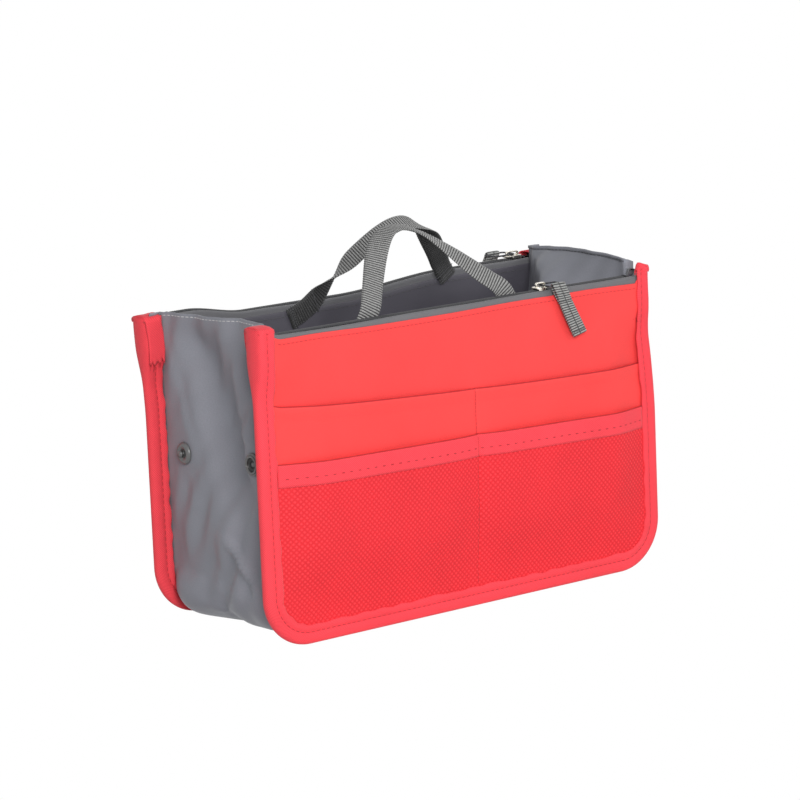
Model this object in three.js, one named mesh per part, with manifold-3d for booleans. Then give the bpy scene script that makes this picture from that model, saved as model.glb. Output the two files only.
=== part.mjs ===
// Open toiletry bag: two zipped cloth panels joined by one soft strip, with handles and press studs.
// Millimetres, +Z up. The bag stands on the floor at z = 0, and its front faces -Y.

import * as THREE from 'three';
import Module from 'manifold-3d';
import { mergeVertices } from 'three/addons/utils/BufferGeometryUtils.js';

const wasm = await Module();
wasm.setup();

// Overall sizes
const BAG_WIDTH = 274; // over the side bindings
const BAG_HEIGHT = 170; // floor to the folded ends of the bindings
const PANEL_SPACING = 104; // between the middle planes of the two panels
const CORNER_RADIUS = 28; // bottom corners of a panel, at the outer edge of the binding
const CLEARANCE = 0.3; // between pieces that lie on each other or move past each other

// Cloth and tape
const PANEL_CLOTH = 0.5;
const LINING_CLOTH = 0.5;
const POCKET_CLOTH = 0.5;
const STRIP_CLOTH = 0.6;
const BINDING_TAPE = 0.7; // thickness of the folded edge tape
const BINDING_WIDTH = 10.5; // how far the edge tape covers a panel
const BINDING_FLAP = 26; // length of the tape end folded down inside
const STRIP_TOP_DROP = 2; // strip's top edge below the bag's top
const STRIP_HEM_HEIGHT = 8; // folded top edge of the strip

// Levels on a panel
const PANEL_TOP_DROP = 7; // top edge of panel and lining below the bag's top
const SLIP_POCKET_TOP = 118;
const MESH_POCKET_TOP = 93;
const HEM_HEIGHT = 12; // tape sewn along the mouth of the mesh pocket
const HEM_TAPE = 0.4;

// Swell of a panel between its edges
const SWELL = 4.5; // each side of the middle plane, at the zip
const SWELL_RUN = 30; // from the binding to the full swell, across
const SWELL_RISE = 50; // from the bottom binding to the full swell, upwards
const FLARE_DROP = 42; // bag's top down to where the side edges start to open
const FLARE_HEIGHT = 24; // height in which the side edges open to the full swell

// Zip
const ROOF_DROP = 3.5; // zip tape's upper face below the bag's top
const ZIP_TAPE = 0.5;
const ZIP_TAPE_OVERLAP = 6; // how far the zip tape reaches down behind the panel's top edge
const COIL_GAP = 1.4; // between the two coil rows
const COIL_WIDTH = 1.4;
const COIL_HEIGHT = 2.3;
const STOP_LENGTH = 2;
const SLIDER_LENGTH = 8;
const SLIDER_WIDTH = 6.6;
const SLIDER_PLATE = 1;
const SLIDER_LIP = 0.6;
const SLIDER_POST = 0.8;
const CROWN_LENGTH = 6.4;
const CROWN_WIDTH = 1.6;
const CROWN_BAR = 0.8;
const BAIL_WIRE = 1; // diameter
const BAIL_CORNER = 1.2;
const BAIL_BACK = 2.6; // bail's rear bar behind the middle of the zip
const TAB_WIDTH = 9;
const TAB_LENGTH = 29;
const TAB_WEBBING = 0.8; // thickness of one layer
const TAB_LOOP = 7; // open loop round the bail
const TAB_SLANT_DEG = 27; // the tab hangs to the right of straight down

// Handles
const STRAP_WIDTH = 12;
const STRAP_THICKNESS = 1.6;
const FRONT_HANDLE_SPAN = 92; // between the middles of the two feet
const FRONT_HANDLE_RISE = 48; // top of the arch above the hinge line, along the leaning arch
const FRONT_HANDLE_OFFSET = -9.5; // middle of the handle from the middle of its panel
const REAR_HANDLE_SPAN = 89;
const REAR_HANDLE_RISE = 42;
const REAR_HANDLE_OFFSET = -23;
const HANDLE_HINGE_DROP = 1.5; // hinge line below the bag's top
const FOOT_LENGTH = 10;
const TWIST_START = 0.08; // shares of the arch between which the strap turns on edge
const TWIST_END = 0.42;

// Press studs
const STUD_RADIUS = 6.2;
const STUD_HEIGHT_ABOVE_FLOOR = 96;
const STUD_FROM_SEAM = 19; // inwards from a panel's middle plane
const STUD_POST_RADIUS = 1.6;
const STUD_PLATE = 2.1;
const STUD_KNOB = 1.8;
const STUD_KNOB_RADIUS = 2.3;
const STUD_BORE_DEPTH = 1.5;
const STUD_CAP = 1.3;

// How each panel is stored: where its slider stands, and how its handle arches and leans inwards
const FRONT_SLIDER_SHARE = 0.42; // of the half width, right of the middle
const REAR_SLIDER_FROM_END = 18; // from the bag's end, where the zip is all but shut
const FRONT = {
  name: 'front',
  sliderX: (FRONT_SLIDER_SHARE * BAG_WIDTH) / 2,
  arch: { leanDeg: 36, span: FRONT_HANDLE_SPAN, rise: FRONT_HANDLE_RISE, offset: FRONT_HANDLE_OFFSET },
};
const REAR = {
  name: 'rear',
  sliderX: REAR_SLIDER_FROM_END - BAG_WIDTH / 2,
  arch: { leanDeg: 30, span: REAR_HANDLE_SPAN, rise: REAR_HANDLE_RISE, offset: REAR_HANDLE_OFFSET },
};

// Fineness of the curves
const ARC_SAG = 0.35; // the most that a facet cuts across a bottom corner's arc
const HANDLE_STEPS = 30;
const ROUND_SIDES = 14;
const WIRE_SIDES = 6;
const BAIL_CORNER_STEPS = 3;
const TAB_CORNER_STEPS = 6;
const SAME_LENGTH = 1e-6; // diagonals that differ by less count as equal
const STRAP_END_SINES = [0.9, 0.5]; // rounding of a strap's end at its hinge line
const CORNER_EASE = 8; // height above the rounded corners where the rows of a sheet become level

// Values that follow from the sizes
const HALF_WIDTH = BAG_WIDTH / 2;
const INNER_HALF = HALF_WIDTH - BINDING_WIDTH;
const SHEET_INSET = BINDING_TAPE + CLEARANCE;
const PANEL_TOP = BAG_HEIGHT - PANEL_TOP_DROP;
const POCKETS_TOP = Math.max(SLIP_POCKET_TOP, MESH_POCKET_TOP);
const FLARE_START = BAG_HEIGHT - FLARE_DROP;
const FLARE_END = FLARE_START + FLARE_HEIGHT;
const BINDING_TOP = BAG_HEIGHT - BINDING_TAPE - CLEARANCE;
const CORNER_TOP = CORNER_RADIUS + CORNER_EASE;
const ARC_STEPS = Math.ceil((Math.PI / 4) * Math.sqrt(CORNER_RADIUS / (2 * ARC_SAG)));
const ROOF_TOP = BAG_HEIGHT - ROOF_DROP;
const ROOF_MIDDLE = ROOF_TOP - ZIP_TAPE / 2;

// Layers of a panel at its edge, measured outwards from the middle plane to each inner face
const PANEL_FACE = CLEARANCE / 2;
const SLIP_FACE = PANEL_FACE + PANEL_CLOTH + CLEARANCE;
const MESH_FACE = SLIP_FACE + POCKET_CLOTH + CLEARANCE;
const HEM_FACE = MESH_FACE + POCKET_CLOTH + CLEARANCE;
const LINING_FACE = CLEARANCE / 2;
const FLANGE_FACE = LINING_FACE + LINING_CLOTH + CLEARANCE;
const FLANGE_BACK = FLANGE_FACE + STRIP_CLOTH;

const red = new THREE.MeshStandardMaterial({ color: 0xf04a48, roughness: 0.6 });
const redMesh = new THREE.MeshStandardMaterial({ color: 0xdf3440, roughness: 0.75 });
const redTape = new THREE.MeshStandardMaterial({ color: 0xf0424c, roughness: 0.8 });
const greySatin = new THREE.MeshStandardMaterial({ color: 0x7c7f86, roughness: 0.4 });
const greyLining = new THREE.MeshStandardMaterial({ color: 0x4b4b52, roughness: 0.6 });
const zipCloth = new THREE.MeshStandardMaterial({ color: 0x6e7176, roughness: 0.8 });
const zipCoil = new THREE.MeshStandardMaterial({ color: 0x3c3d40, roughness: 0.5 });
const bright = new THREE.MeshStandardMaterial({ color: 0xc9c3b4, roughness: 0.3, metalness: 1 });
const darkMetal = new THREE.MeshStandardMaterial({ color: 0x3a3a3c, roughness: 0.4, metalness: 1 });
const webbing = new THREE.MeshStandardMaterial({ color: 0x7d7d7b, roughness: 0.85 });
const darkPlastic = new THREE.MeshStandardMaterial({ color: 0x3d3f42, roughness: 0.5 });

// Share from 0 to 1 that a value has covered between two limits
function ramp(value, from, to) {
  return THREE.MathUtils.clamp((value - from) / (to - from), 0, 1);
}

// A point of a panel: x along it, out from its middle plane, z up. A panel faces -Y.
function panelPoint(x, out, z) {
  return new THREE.Vector3(x, -out, z);
}

// Closed solid from points and triangles, with its faces turned outwards
function solid(points, triangles) {
  let volume = 0;
  for (const [a, b, c] of triangles) {
    volume += points[a].dot(points[b].clone().cross(points[c]));
  }
  const turned = volume < 0 ? triangles.map(([a, b, c]) => [a, c, b]) : triangles;
  const geometry = new THREE.BufferGeometry();
  geometry.setAttribute('position', new THREE.Float32BufferAttribute(points.flatMap((p) => p.toArray()), 3));
  geometry.setIndex(turned.flat());
  geometry.computeVertexNormals();
  return geometry;
}

// Triangles that fill a flat ring of points, seen along the axis that it faces most
function capTriangles(ring) {
  const normal = new THREE.Vector3();
  ring.forEach((p, i) => normal.add(p.clone().cross(ring[(i + 1) % ring.length])));
  const size = normal.toArray().map(Math.abs);
  const drop = size.indexOf(Math.max(...size));
  const flat = ring.map((p) => {
    const [u, v] = p.toArray().filter((_, axis) => axis !== drop);
    return new THREE.Vector2(u, v);
  });
  const clockwise = THREE.ShapeUtils.isClockWise(flat);
  const order = flat.map((_, i) => i);
  if (clockwise) order.reverse();
  const faces = THREE.ShapeUtils.triangulateShape(order.map((i) => flat[i]), []);
  return faces.map((face) => {
    const [a, b, c] = face.map((i) => order[i]);
    return clockwise ? [a, c, b] : [a, b, c];
  });
}

// Two triangles for a patch of four corners, split along its shorter diagonal
function patch(points, [a, b, c, d]) {
  const crossed = points[a].distanceTo(points[c]) > points[b].distanceTo(points[d]) + SAME_LENGTH;
  return crossed ? [[a, b, d], [b, c, d]] : [[a, b, c], [a, c, d]];
}

// Solid through a row of rings with equal counts of points, capped unless the row closes on itself
function loft(rings, closed = false) {
  const count = rings[0].length;
  const points = rings.flat();
  const triangles = [];
  const spans = closed ? rings.length : rings.length - 1;
  for (let i = 0; i < spans; i += 1) {
    const here = i * count;
    const next = ((i + 1) % rings.length) * count;
    for (let k = 0; k < count; k += 1) {
      const l = (k + 1) % count;
      triangles.push(...patch(points, [here + k, here + l, next + l, next + k]));
    }
  }
  if (!closed) {
    const last = (rings.length - 1) * count;
    const cap = capTriangles(rings[0]);
    triangles.push(...cap.map(([a, b, c]) => [a, c, b]));
    triangles.push(...cap.map(([a, b, c]) => [last + a, last + b, last + c]));
  }
  return solid(points, triangles);
}

// Solid between two grids of points that have the same columns and rows
function slab(face, back) {
  const columns = face.length;
  const rows = face[0].length;
  const half = columns * rows;
  const at = (i, j) => i * rows + j;
  const triangles = [];
  for (let i = 0; i < columns - 1; i += 1) {
    for (let j = 0; j < rows - 1; j += 1) {
      const [a, b, c, d] = [at(i, j), at(i + 1, j), at(i + 1, j + 1), at(i, j + 1)];
      triangles.push([a, b, c], [a, c, d], [half + a, half + c, half + b], [half + a, half + d, half + c]);
    }
  }
  const rim = [];
  for (let i = 0; i < columns - 1; i += 1) rim.push(at(i, 0));
  for (let j = 0; j < rows - 1; j += 1) rim.push(at(columns - 1, j));
  for (let i = columns - 1; i > 0; i -= 1) rim.push(at(i, rows - 1));
  for (let j = rows - 1; j > 0; j -= 1) rim.push(at(0, j));
  rim.forEach((a, k) => {
    const b = rim[(k + 1) % rim.length];
    triangles.push([a, half + a, half + b], [a, half + b, b]);
  });
  return solid([...face.flat(), ...back.flat()], triangles);
}

// Joining and cutting of closed solids
function toManifold(geometry) {
  const bare = geometry.clone();
  bare.deleteAttribute('normal');
  if (bare.hasAttribute('uv')) bare.deleteAttribute('uv');
  const merged = mergeVertices(bare);
  return new wasm.Manifold(
    new wasm.Mesh({
      numProp: 3,
      vertProperties: merged.getAttribute('position').array,
      triVerts: new Uint32Array(merged.getIndex().array),
    }),
  );
}

function fromManifold(body) {
  const mesh = body.getMesh();
  const geometry = new THREE.BufferGeometry();
  geometry.setAttribute('position', new THREE.BufferAttribute(new Float32Array(mesh.vertProperties), 3));
  geometry.setIndex(new THREE.BufferAttribute(new Uint32Array(mesh.triVerts), 1));
  geometry.computeVertexNormals();
  return geometry;
}

function named(name, geometry, material) {
  const mesh = new THREE.Mesh(geometry, material);
  mesh.name = name;
  return mesh;
}

// How far a panel's cloth stands off the middle plane at a place
function flare(z) {
  return ramp(z, FLARE_START, FLARE_END);
}

// Bottom edge of a panel at a place across it, at a distance inside its outer edge
function bottomEdge(x, inset) {
  const beyond = Math.abs(x) - (HALF_WIDTH - CORNER_RADIUS);
  const radius = CORNER_RADIUS - inset;
  if (beyond <= 0) return inset;
  return CORNER_RADIUS - Math.sqrt(Math.max(radius * radius - beyond * beyond, 0));
}

function swell(x, z) {
  const across = 1 - ramp(Math.abs(x), INNER_HALF - SWELL_RUN, INNER_HALF);
  const low = bottomEdge(x, BINDING_WIDTH);
  const upward = ramp(z, low, low + SWELL_RISE);
  return SWELL * Math.max(across * upward, flare(z));
}

// Sorted numbers with near repeats left out
function steps(values) {
  const sorted = [...values].sort((a, b) => a - b);
  return sorted.filter((value, i) => i === 0 || value - sorted[i - 1] > CLEARANCE);
}

// Places across a panel where all its sheets have their columns
function sheetColumns() {
  const right = [0, INNER_HALF - SWELL_RUN, INNER_HALF, HALF_WIDTH - CORNER_RADIUS];
  const radius = CORNER_RADIUS - SHEET_INSET;
  for (let k = 1; k <= ARC_STEPS; k += 1) {
    right.push(HALF_WIDTH - CORNER_RADIUS + radius * Math.sin((k / ARC_STEPS) * (Math.PI / 2)));
  }
  return steps([...right, ...right.map((x) => -x)]);
}

const SHEET_COLUMNS = sheetColumns();
const SHEET_LEVELS = steps([
  CORNER_TOP,
  BINDING_WIDTH + SWELL_RISE,
  MESH_POCKET_TOP - HEM_HEIGHT,
  MESH_POCKET_TOP,
  SLIP_POCKET_TOP,
  FLARE_START,
  FLARE_END,
  PANEL_TOP,
]);

// Sheet of a panel between two grids. Its side is 1 outside the middle plane and -1 inside it.
function sheetSolid(columns, rowsAt, faceOut, thickness, side) {
  const grid = (out) =>
    columns.map((x) => rowsAt(x).map((z) => panelPoint(x, side * (out + swell(x, z)), z)));
  return slab(grid(faceOut), grid(faceOut + thickness));
}

// Sheet that fills the panel from its rounded bottom up to a level
function fullSheet(top, faceOut, thickness, side) {
  const upper = SHEET_LEVELS.filter((z) => z > CORNER_TOP && z < top - CLEARANCE);
  const rowsAt = (x) => {
    const low = bottomEdge(x, SHEET_INSET);
    const inner = Math.max(bottomEdge(x, BINDING_WIDTH), low + CLEARANCE);
    return [low, inner, CORNER_TOP, ...upper, top];
  };
  return sheetSolid(SHEET_COLUMNS, rowsAt, faceOut, thickness, side);
}

// Tape along the mouth of the mesh pocket, from binding to binding
function pocketHem() {
  const reach = INNER_HALF - CLEARANCE;
  const columns = [-reach, ...SHEET_COLUMNS.filter((x) => Math.abs(x) < reach - CLEARANCE), reach];
  const levels = [MESH_POCKET_TOP - HEM_HEIGHT, MESH_POCKET_TOP];
  return sheetSolid(columns, () => levels, HEM_FACE, HEM_TAPE, 1);
}

// Outer edge of a panel from its left top, round the bottom, to its right top, with inward directions
function edgePath(top, sideLevels) {
  const sides = steps([CORNER_RADIUS, ...sideLevels.filter((z) => z > CORNER_RADIUS && z < top), top]);
  const path = [];
  for (const z of [...sides].reverse()) path.push({ x: -HALF_WIDTH, z, inX: 1, inZ: 0 });
  for (const sideX of [-1, 1]) {
    for (let k = 0; k <= ARC_STEPS; k += 1) {
      const turn = ((sideX < 0 ? k : ARC_STEPS - k) / ARC_STEPS) * (Math.PI / 2);
      const inX = -sideX * Math.cos(turn);
      const inZ = Math.sin(turn);
      const centreX = sideX * (HALF_WIDTH - CORNER_RADIUS);
      const sharesEnd = Math.sin(turn) < 1e-9;
      if (!sharesEnd) {
        path.push({ x: centreX - CORNER_RADIUS * inX, z: CORNER_RADIUS - CORNER_RADIUS * inZ, inX, inZ });
      }
    }
  }
  for (const z of sides) path.push({ x: HALF_WIDTH, z, inX: -1, inZ: 0 });
  return path;
}

// Faces of the binding on both sides of the panel at a level
function bindingOuter(z) {
  const overPockets = HEM_FACE;
  const overPanel = SLIP_FACE;
  const share = ramp(z, POCKETS_TOP + CLEARANCE, Math.max(FLARE_END, POCKETS_TOP + 2 * CLEARANCE));
  return overPockets + (overPanel - overPockets) * share + SWELL * flare(z) + BINDING_TAPE;
}

function bindingInner(z) {
  return FLANGE_BACK + CLEARANCE + SWELL * flare(z) + BINDING_TAPE;
}

// Tape folded round the side and bottom edges of a panel
function edgeBinding() {
  const levels = [POCKETS_TOP + CLEARANCE, FLARE_START, FLARE_END];
  const rings = edgePath(BINDING_TOP, levels).map(({ x, z, inX, inZ }) => {
    const outer = bindingOuter(z);
    const inner = -bindingInner(z);
    const section = [
      [0, outer],
      [BINDING_WIDTH, outer],
      [BINDING_WIDTH, outer - BINDING_TAPE],
      [BINDING_TAPE, outer - BINDING_TAPE],
      [BINDING_TAPE, inner + BINDING_TAPE],
      [BINDING_WIDTH, inner + BINDING_TAPE],
      [BINDING_WIDTH, inner],
      [0, inner],
    ];
    return section.map(([depth, out]) => panelPoint(x + inX * depth, out, z + inZ * depth));
  });
  return loft(rings);
}

// End of the binding tape, folded over the top and down inside
function bindingEnd(side) {
  const low = BAG_HEIGHT - BINDING_FLAP;
  const under = BAG_HEIGHT - BINDING_TAPE;
  const flapFace = (z) => -bindingInner(z) - CLEARANCE;
  const section = [
    [bindingOuter(BINDING_TOP), under],
    [bindingOuter(BINDING_TOP), BAG_HEIGHT],
    [flapFace(BAG_HEIGHT) - BINDING_TAPE, BAG_HEIGHT],
    [flapFace(FLARE_END) - BINDING_TAPE, FLARE_END],
    [flapFace(low) - BINDING_TAPE, low],
    [flapFace(low), low],
    [flapFace(FLARE_END), FLARE_END],
    [flapFace(under), under],
  ];
  const rings = [HALF_WIDTH, INNER_HALF].map((x) => section.map(([out, z]) => panelPoint(side * x, out, z)));
  return loft(rings);
}

// Zip tape: a flat part beside the coil and a part turned down behind the panel or the lining
function zipTape(side) {
  const legOut = PANEL_FACE + SWELL - CLEARANCE;
  const coilEdge = COIL_GAP / 2 + COIL_WIDTH + CLEARANCE;
  const low = PANEL_TOP - ZIP_TAPE_OVERLAP;
  const section = [
    [coilEdge, ROOF_TOP],
    [legOut, ROOF_TOP],
    [legOut, low],
    [legOut - ZIP_TAPE, low],
    [legOut - ZIP_TAPE, ROOF_TOP - ZIP_TAPE],
    [coilEdge, ROOF_TOP - ZIP_TAPE],
  ];
  const reach = HALF_WIDTH - SHEET_INSET;
  return loft([-reach, reach].map((x) => section.map(([out, z]) => panelPoint(x, side * out, z))));
}

// Coil ends: the left one at the binding, the right one short of it by the bail's reach
const BAIL_FRONT = bindingOuter(BAG_HEIGHT) + CLEARANCE + TAB_WEBBING + CLEARANCE + BAIL_WIRE / 2;
const BAIL_REACH = TAB_WIDTH + 2 * (BAIL_CORNER + CLEARANCE);
const COIL_LEFT = -(INNER_HALF - 2 * CLEARANCE - STOP_LENGTH);
const SLIDER_RIGHT = INNER_HALF - CLEARANCE - BAIL_REACH - BAIL_WIRE / 2;
const COIL_RIGHT = SLIDER_RIGHT + SLIDER_LENGTH / 2 + CLEARANCE;

function block(fromX, toX, fromOut, toOut, fromZ, toZ) {
  const section = [[fromOut, fromZ], [toOut, fromZ], [toOut, toZ], [fromOut, toZ]];
  return loft([fromX, toX].map((x) => section.map(([out, z]) => panelPoint(x, out, z))));
}

function coilRow(side) {
  const near = (side * COIL_GAP) / 2;
  const far = near + side * COIL_WIDTH;
  const low = ROOF_MIDDLE - COIL_HEIGHT / 2;
  return block(COIL_LEFT, COIL_RIGHT, near, far, low, low + COIL_HEIGHT);
}

function coilStop(fromX) {
  const half = COIL_GAP / 2 + COIL_WIDTH;
  const low = ROOF_MIDDLE - COIL_HEIGHT / 2;
  return block(fromX, fromX + STOP_LENGTH, -half, half, low, low + COIL_HEIGHT);
}

// Slider: two plates with lips round the tapes, a post between the coils and a crown for the bail
const SLIDER_PLATE_FACE = COIL_HEIGHT / 2 + CLEARANCE;
const SLIDER_TOP = ROOF_MIDDLE + SLIDER_PLATE_FACE + SLIDER_PLATE;
const BAIL_LEVEL = SLIDER_TOP + CLEARANCE + BAIL_WIRE / 2;

function slider(middleX) {
  const half = SLIDER_WIDTH / 2;
  const lip = half - SLIDER_LIP;
  const slot = ZIP_TAPE / 2 + CLEARANCE;
  const face = SLIDER_PLATE_FACE;
  const top = face + SLIDER_PLATE;
  const post = SLIDER_POST / 2;
  const quarter = [[half, top], [half, slot], [lip, slot], [lip, face], [post, face]];
  const lower = [...quarter].reverse().map(([out, z]) => [out, -z]);
  const right = [...quarter, ...lower];
  const left = [...right].reverse().map(([out, z]) => [-out, z]);
  const section = [...right, ...left];
  const ends = [middleX - SLIDER_LENGTH / 2, middleX + SLIDER_LENGTH / 2];
  const body = loft(ends.map((x) => section.map(([out, z]) => panelPoint(x, out, ROOF_MIDDLE + z))));
  return fromManifold(toManifold(body).add(toManifold(crown(middleX))));
}

function crown(middleX) {
  const far = CROWN_LENGTH / 2;
  const near = far - CROWN_BAR;
  const foot = SLIDER_TOP - SLIDER_PLATE / 2;
  const under = SLIDER_TOP + BAIL_WIRE + 2 * CLEARANCE;
  const arch = [
    [-far, foot],
    [-near, foot],
    [-near, under],
    [near, under],
    [near, foot],
    [far, foot],
    [far, under],
    [near, under + CROWN_BAR],
    [-near, under + CROWN_BAR],
    [-far, under],
  ];
  const sides = [-CROWN_WIDTH / 2, CROWN_WIDTH / 2];
  return loft(sides.map((out) => arch.map(([x, z]) => panelPoint(middleX + x, out, z))));
}

// Wire bail: a closed rounded rectangle, one bar in the crown and one bar in the tab's loop
function bail(middleX) {
  const corners = [
    [0, -BAIL_BACK, Math.PI],
    [BAIL_REACH, -BAIL_BACK, 1.5 * Math.PI],
    [BAIL_REACH, BAIL_FRONT, 0],
    [0, BAIL_FRONT, 0.5 * Math.PI],
  ];
  const rings = [];
  for (const [cornerX, cornerOut, start] of corners) {
    const inX = cornerX > 0 ? cornerX - BAIL_CORNER : BAIL_CORNER;
    const inOut = cornerOut > 0 ? cornerOut - BAIL_CORNER : cornerOut + BAIL_CORNER;
    for (let k = 0; k <= BAIL_CORNER_STEPS; k += 1) {
      const angle = start + (k / BAIL_CORNER_STEPS) * (Math.PI / 2);
      const ring = [];
      for (let side = 0; side < WIRE_SIDES; side += 1) {
        const around = (side / WIRE_SIDES) * 2 * Math.PI;
        const reach = BAIL_CORNER + (BAIL_WIRE / 2) * Math.cos(around);
        const x = middleX + inX + reach * Math.cos(angle);
        const out = inOut + reach * Math.sin(angle);
        ring.push(panelPoint(x, out, BAIL_LEVEL + (BAIL_WIRE / 2) * Math.sin(around)));
      }
      rings.push(ring);
    }
  }
  return loft(rings, true);
}

// Webbing tab folded round the bail's front bar and sewn together below it
function pullTab(middleX) {
  const hole = BAIL_WIRE / 2 + CLEARANCE;
  const outer = hole + TAB_WEBBING;
  const shape = new THREE.Shape();
  shape.absarc(0, 0, outer, 0, Math.PI, false);
  shape.lineTo(-outer, -TAB_LOOP);
  shape.lineTo(-TAB_WEBBING, -TAB_LOOP - outer);
  shape.lineTo(-TAB_WEBBING, -TAB_LENGTH);
  shape.lineTo(TAB_WEBBING, -TAB_LENGTH);
  shape.lineTo(TAB_WEBBING, -TAB_LOOP - outer);
  shape.lineTo(outer, -TAB_LOOP);
  const slot = new THREE.Path();
  slot.absarc(0, 0, hole, 0, Math.PI, false);
  slot.lineTo(-hole, -TAB_LOOP + hole);
  slot.lineTo(hole, -TAB_LOOP + hole);
  shape.holes.push(slot);
  const options = { depth: TAB_WIDTH, bevelEnabled: false, curveSegments: TAB_CORNER_STEPS };
  const geometry = new THREE.ExtrudeGeometry(shape, options);
  const slant = Math.tan(THREE.MathUtils.degToRad(TAB_SLANT_DEG));
  const position = geometry.getAttribute('position');
  const lastX = middleX + BAIL_REACH / 2 + TAB_WIDTH / 2;
  for (let i = 0; i < position.count; i += 1) {
    const [out, drop, along] = [position.getX(i), position.getY(i), position.getZ(i)];
    const place = panelPoint(lastX - along - slant * drop, BAIL_FRONT + out, BAIL_LEVEL + drop);
    position.setXYZ(i, place.x, place.y, place.z);
  }
  return fromManifold(toManifold(geometry));
}

// Handle: a strap in a leaning arch that turns on edge towards its top
const FOOT_OUT = -(LINING_FACE + LINING_CLOTH + SWELL + CLEARANCE + STRAP_THICKNESS / 2);
const HINGE_LEVEL = BAG_HEIGHT - HANDLE_HINGE_DROP;
const legSlant = ({ span, rise }) => span / (Math.PI * rise);

// Stations of the strap from foot to foot: share of the arch, drop below the hinge line, share of thickness
function strapStations() {
  const radius = STRAP_THICKNESS / 2;
  const rounded = STRAP_END_SINES.map((sine) => ({ drop: sine * radius, thick: Math.sqrt(1 - sine * sine) }));
  const arch = [];
  for (let k = 0; k <= HANDLE_STEPS; k += 1) arch.push({ share: k / HANDLE_STEPS, drop: 0, thick: 1 });
  const first = rounded.map((end) => ({ share: 0, ...end }));
  const last = [...rounded].reverse().map((end) => ({ share: 1, ...end }));
  return [...first, ...arch, ...last];
}

function handle(shape) {
  const { span, rise, offset } = shape;
  const lean = THREE.MathUtils.degToRad(shape.leanDeg);
  const across = new THREE.Vector3(1, 0, 0);
  const upward = panelPoint(0, -Math.sin(lean), Math.cos(lean));
  const outward = panelPoint(0, Math.cos(lean), Math.sin(lean));
  const rings = strapStations().map(({ share, drop, thick }) => {
    const end = share === 0 || share === 1;
    const along = offset + span * (share - 0.5);
    const height = rise * Math.sin(Math.PI * share) - drop;
    const middle = panelPoint(along, FOOT_OUT, HINGE_LEVEL).addScaledVector(upward, height);
    const slope = rise * Math.PI * Math.cos(Math.PI * share);
    const tangent = new THREE.Vector3().addScaledVector(across, span).addScaledVector(upward, slope);
    tangent.normalize();
    const inward = tangent.clone().cross(outward).negate();
    const nearEnd = Math.min(share, 1 - share);
    const turn = (Math.PI / 2) * THREE.MathUtils.smoothstep(nearEnd, TWIST_START, TWIST_END);
    const width = inward.clone().multiplyScalar(Math.cos(turn)).addScaledVector(outward, Math.sin(turn));
    const depth = tangent.clone().cross(width).normalize();
    if (end) width.set(Math.sign(width.x) * Math.hypot(1, legSlant(shape)), 0, 0);
    return [[-1, -1], [1, -1], [1, 1], [-1, 1]].map(([w, d]) =>
      middle
        .clone()
        .addScaledVector(width, (w * STRAP_WIDTH) / 2)
        .addScaledVector(depth, (d * thick * STRAP_THICKNESS) / 2),
    );
  });
  return loft(rings);
}

// Sewn end of a handle, flat on the inside of the lining and in line with the leg
function handleFoot(shape, side) {
  const slant = legSlant(shape);
  const top = HINGE_LEVEL - STRAP_THICKNESS / 2 - CLEARANCE;
  const topX = shape.offset + (side * shape.span) / 2;
  const half = (STRAP_WIDTH / 2) * Math.hypot(1, slant);
  const bottomX = topX + side * slant * FOOT_LENGTH;
  const corners = [
    [topX - half, top],
    [topX + half, top],
    [bottomX + half, top - FOOT_LENGTH],
    [bottomX - half, top - FOOT_LENGTH],
  ];
  const faces = [FOOT_OUT - STRAP_THICKNESS / 2, FOOT_OUT + STRAP_THICKNESS / 2];
  return loft(faces.map((out) => corners.map(([x, z]) => panelPoint(x, out, z))));
}

// One panel with all that is sewn to it, at the origin and facing -Y
function panel({ name, sliderX, arch }) {
  const group = new THREE.Group();
  const add = (piece, geometry, material) => group.add(named(`${name}_${piece}`, geometry, material));
  add('outer_panel', fullSheet(PANEL_TOP, PANEL_FACE, PANEL_CLOTH, 1), red);
  add('slip_pocket', fullSheet(SLIP_POCKET_TOP, SLIP_FACE, POCKET_CLOTH, 1), red);
  add('mesh_pocket', fullSheet(MESH_POCKET_TOP, MESH_FACE, POCKET_CLOTH, 1), redMesh);
  add('pocket_hem', pocketHem(), redTape);
  add('lining', fullSheet(PANEL_TOP, LINING_FACE, LINING_CLOTH, -1), greyLining);
  add('edge_binding', edgeBinding(), redTape);
  add('binding_end_left', bindingEnd(-1), redTape);
  add('binding_end_right', bindingEnd(1), redTape);
  add('zip_tape_outer', zipTape(1), zipCloth);
  add('zip_tape_inner', zipTape(-1), zipCloth);
  add('zip_coil_outer', coilRow(1), zipCoil);
  add('zip_coil_inner', coilRow(-1), zipCoil);
  add('zip_stop_left', coilStop(COIL_LEFT - CLEARANCE - STOP_LENGTH), bright);
  add('zip_stop_right', coilStop(COIL_RIGHT + CLEARANCE), bright);
  add('zip_slider', slider(sliderX), bright);
  add('zip_bail', bail(sliderX), darkMetal);
  add('pull_tab', pullTab(sliderX), webbing);
  add('handle', handle(arch), webbing);
  add('handle_foot_left', handleFoot(arch, -1), webbing);
  add('handle_foot_right', handleFoot(arch, 1), webbing);
  return group;
}

// Strip that forms the left side, the base and the right side, with its edges held in both bindings
const WEB_INSET = BINDING_WIDTH + CLEARANCE;
const FLANGE_INSET = 2 * SHEET_INSET;

function stripRing({ x, z, inX, inZ }, hemmed) {
  const outer = PANEL_SPACING / 2 - FLANGE_FACE - SWELL * flare(z);
  const inner = outer - STRIP_CLOTH;
  const web = WEB_INSET + STRIP_CLOTH * (hemmed ? 2 : 1);
  const section = [
    [FLANGE_INSET, -outer],
    [web, -outer],
    [web, outer],
    [FLANGE_INSET, outer],
    [FLANGE_INSET, inner],
    [WEB_INSET, inner],
    [WEB_INSET, -inner],
    [FLANGE_INSET, -inner],
  ];
  return section.map(([depth, y]) => new THREE.Vector3(x + inX * depth, y, z + inZ * depth));
}

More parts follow.
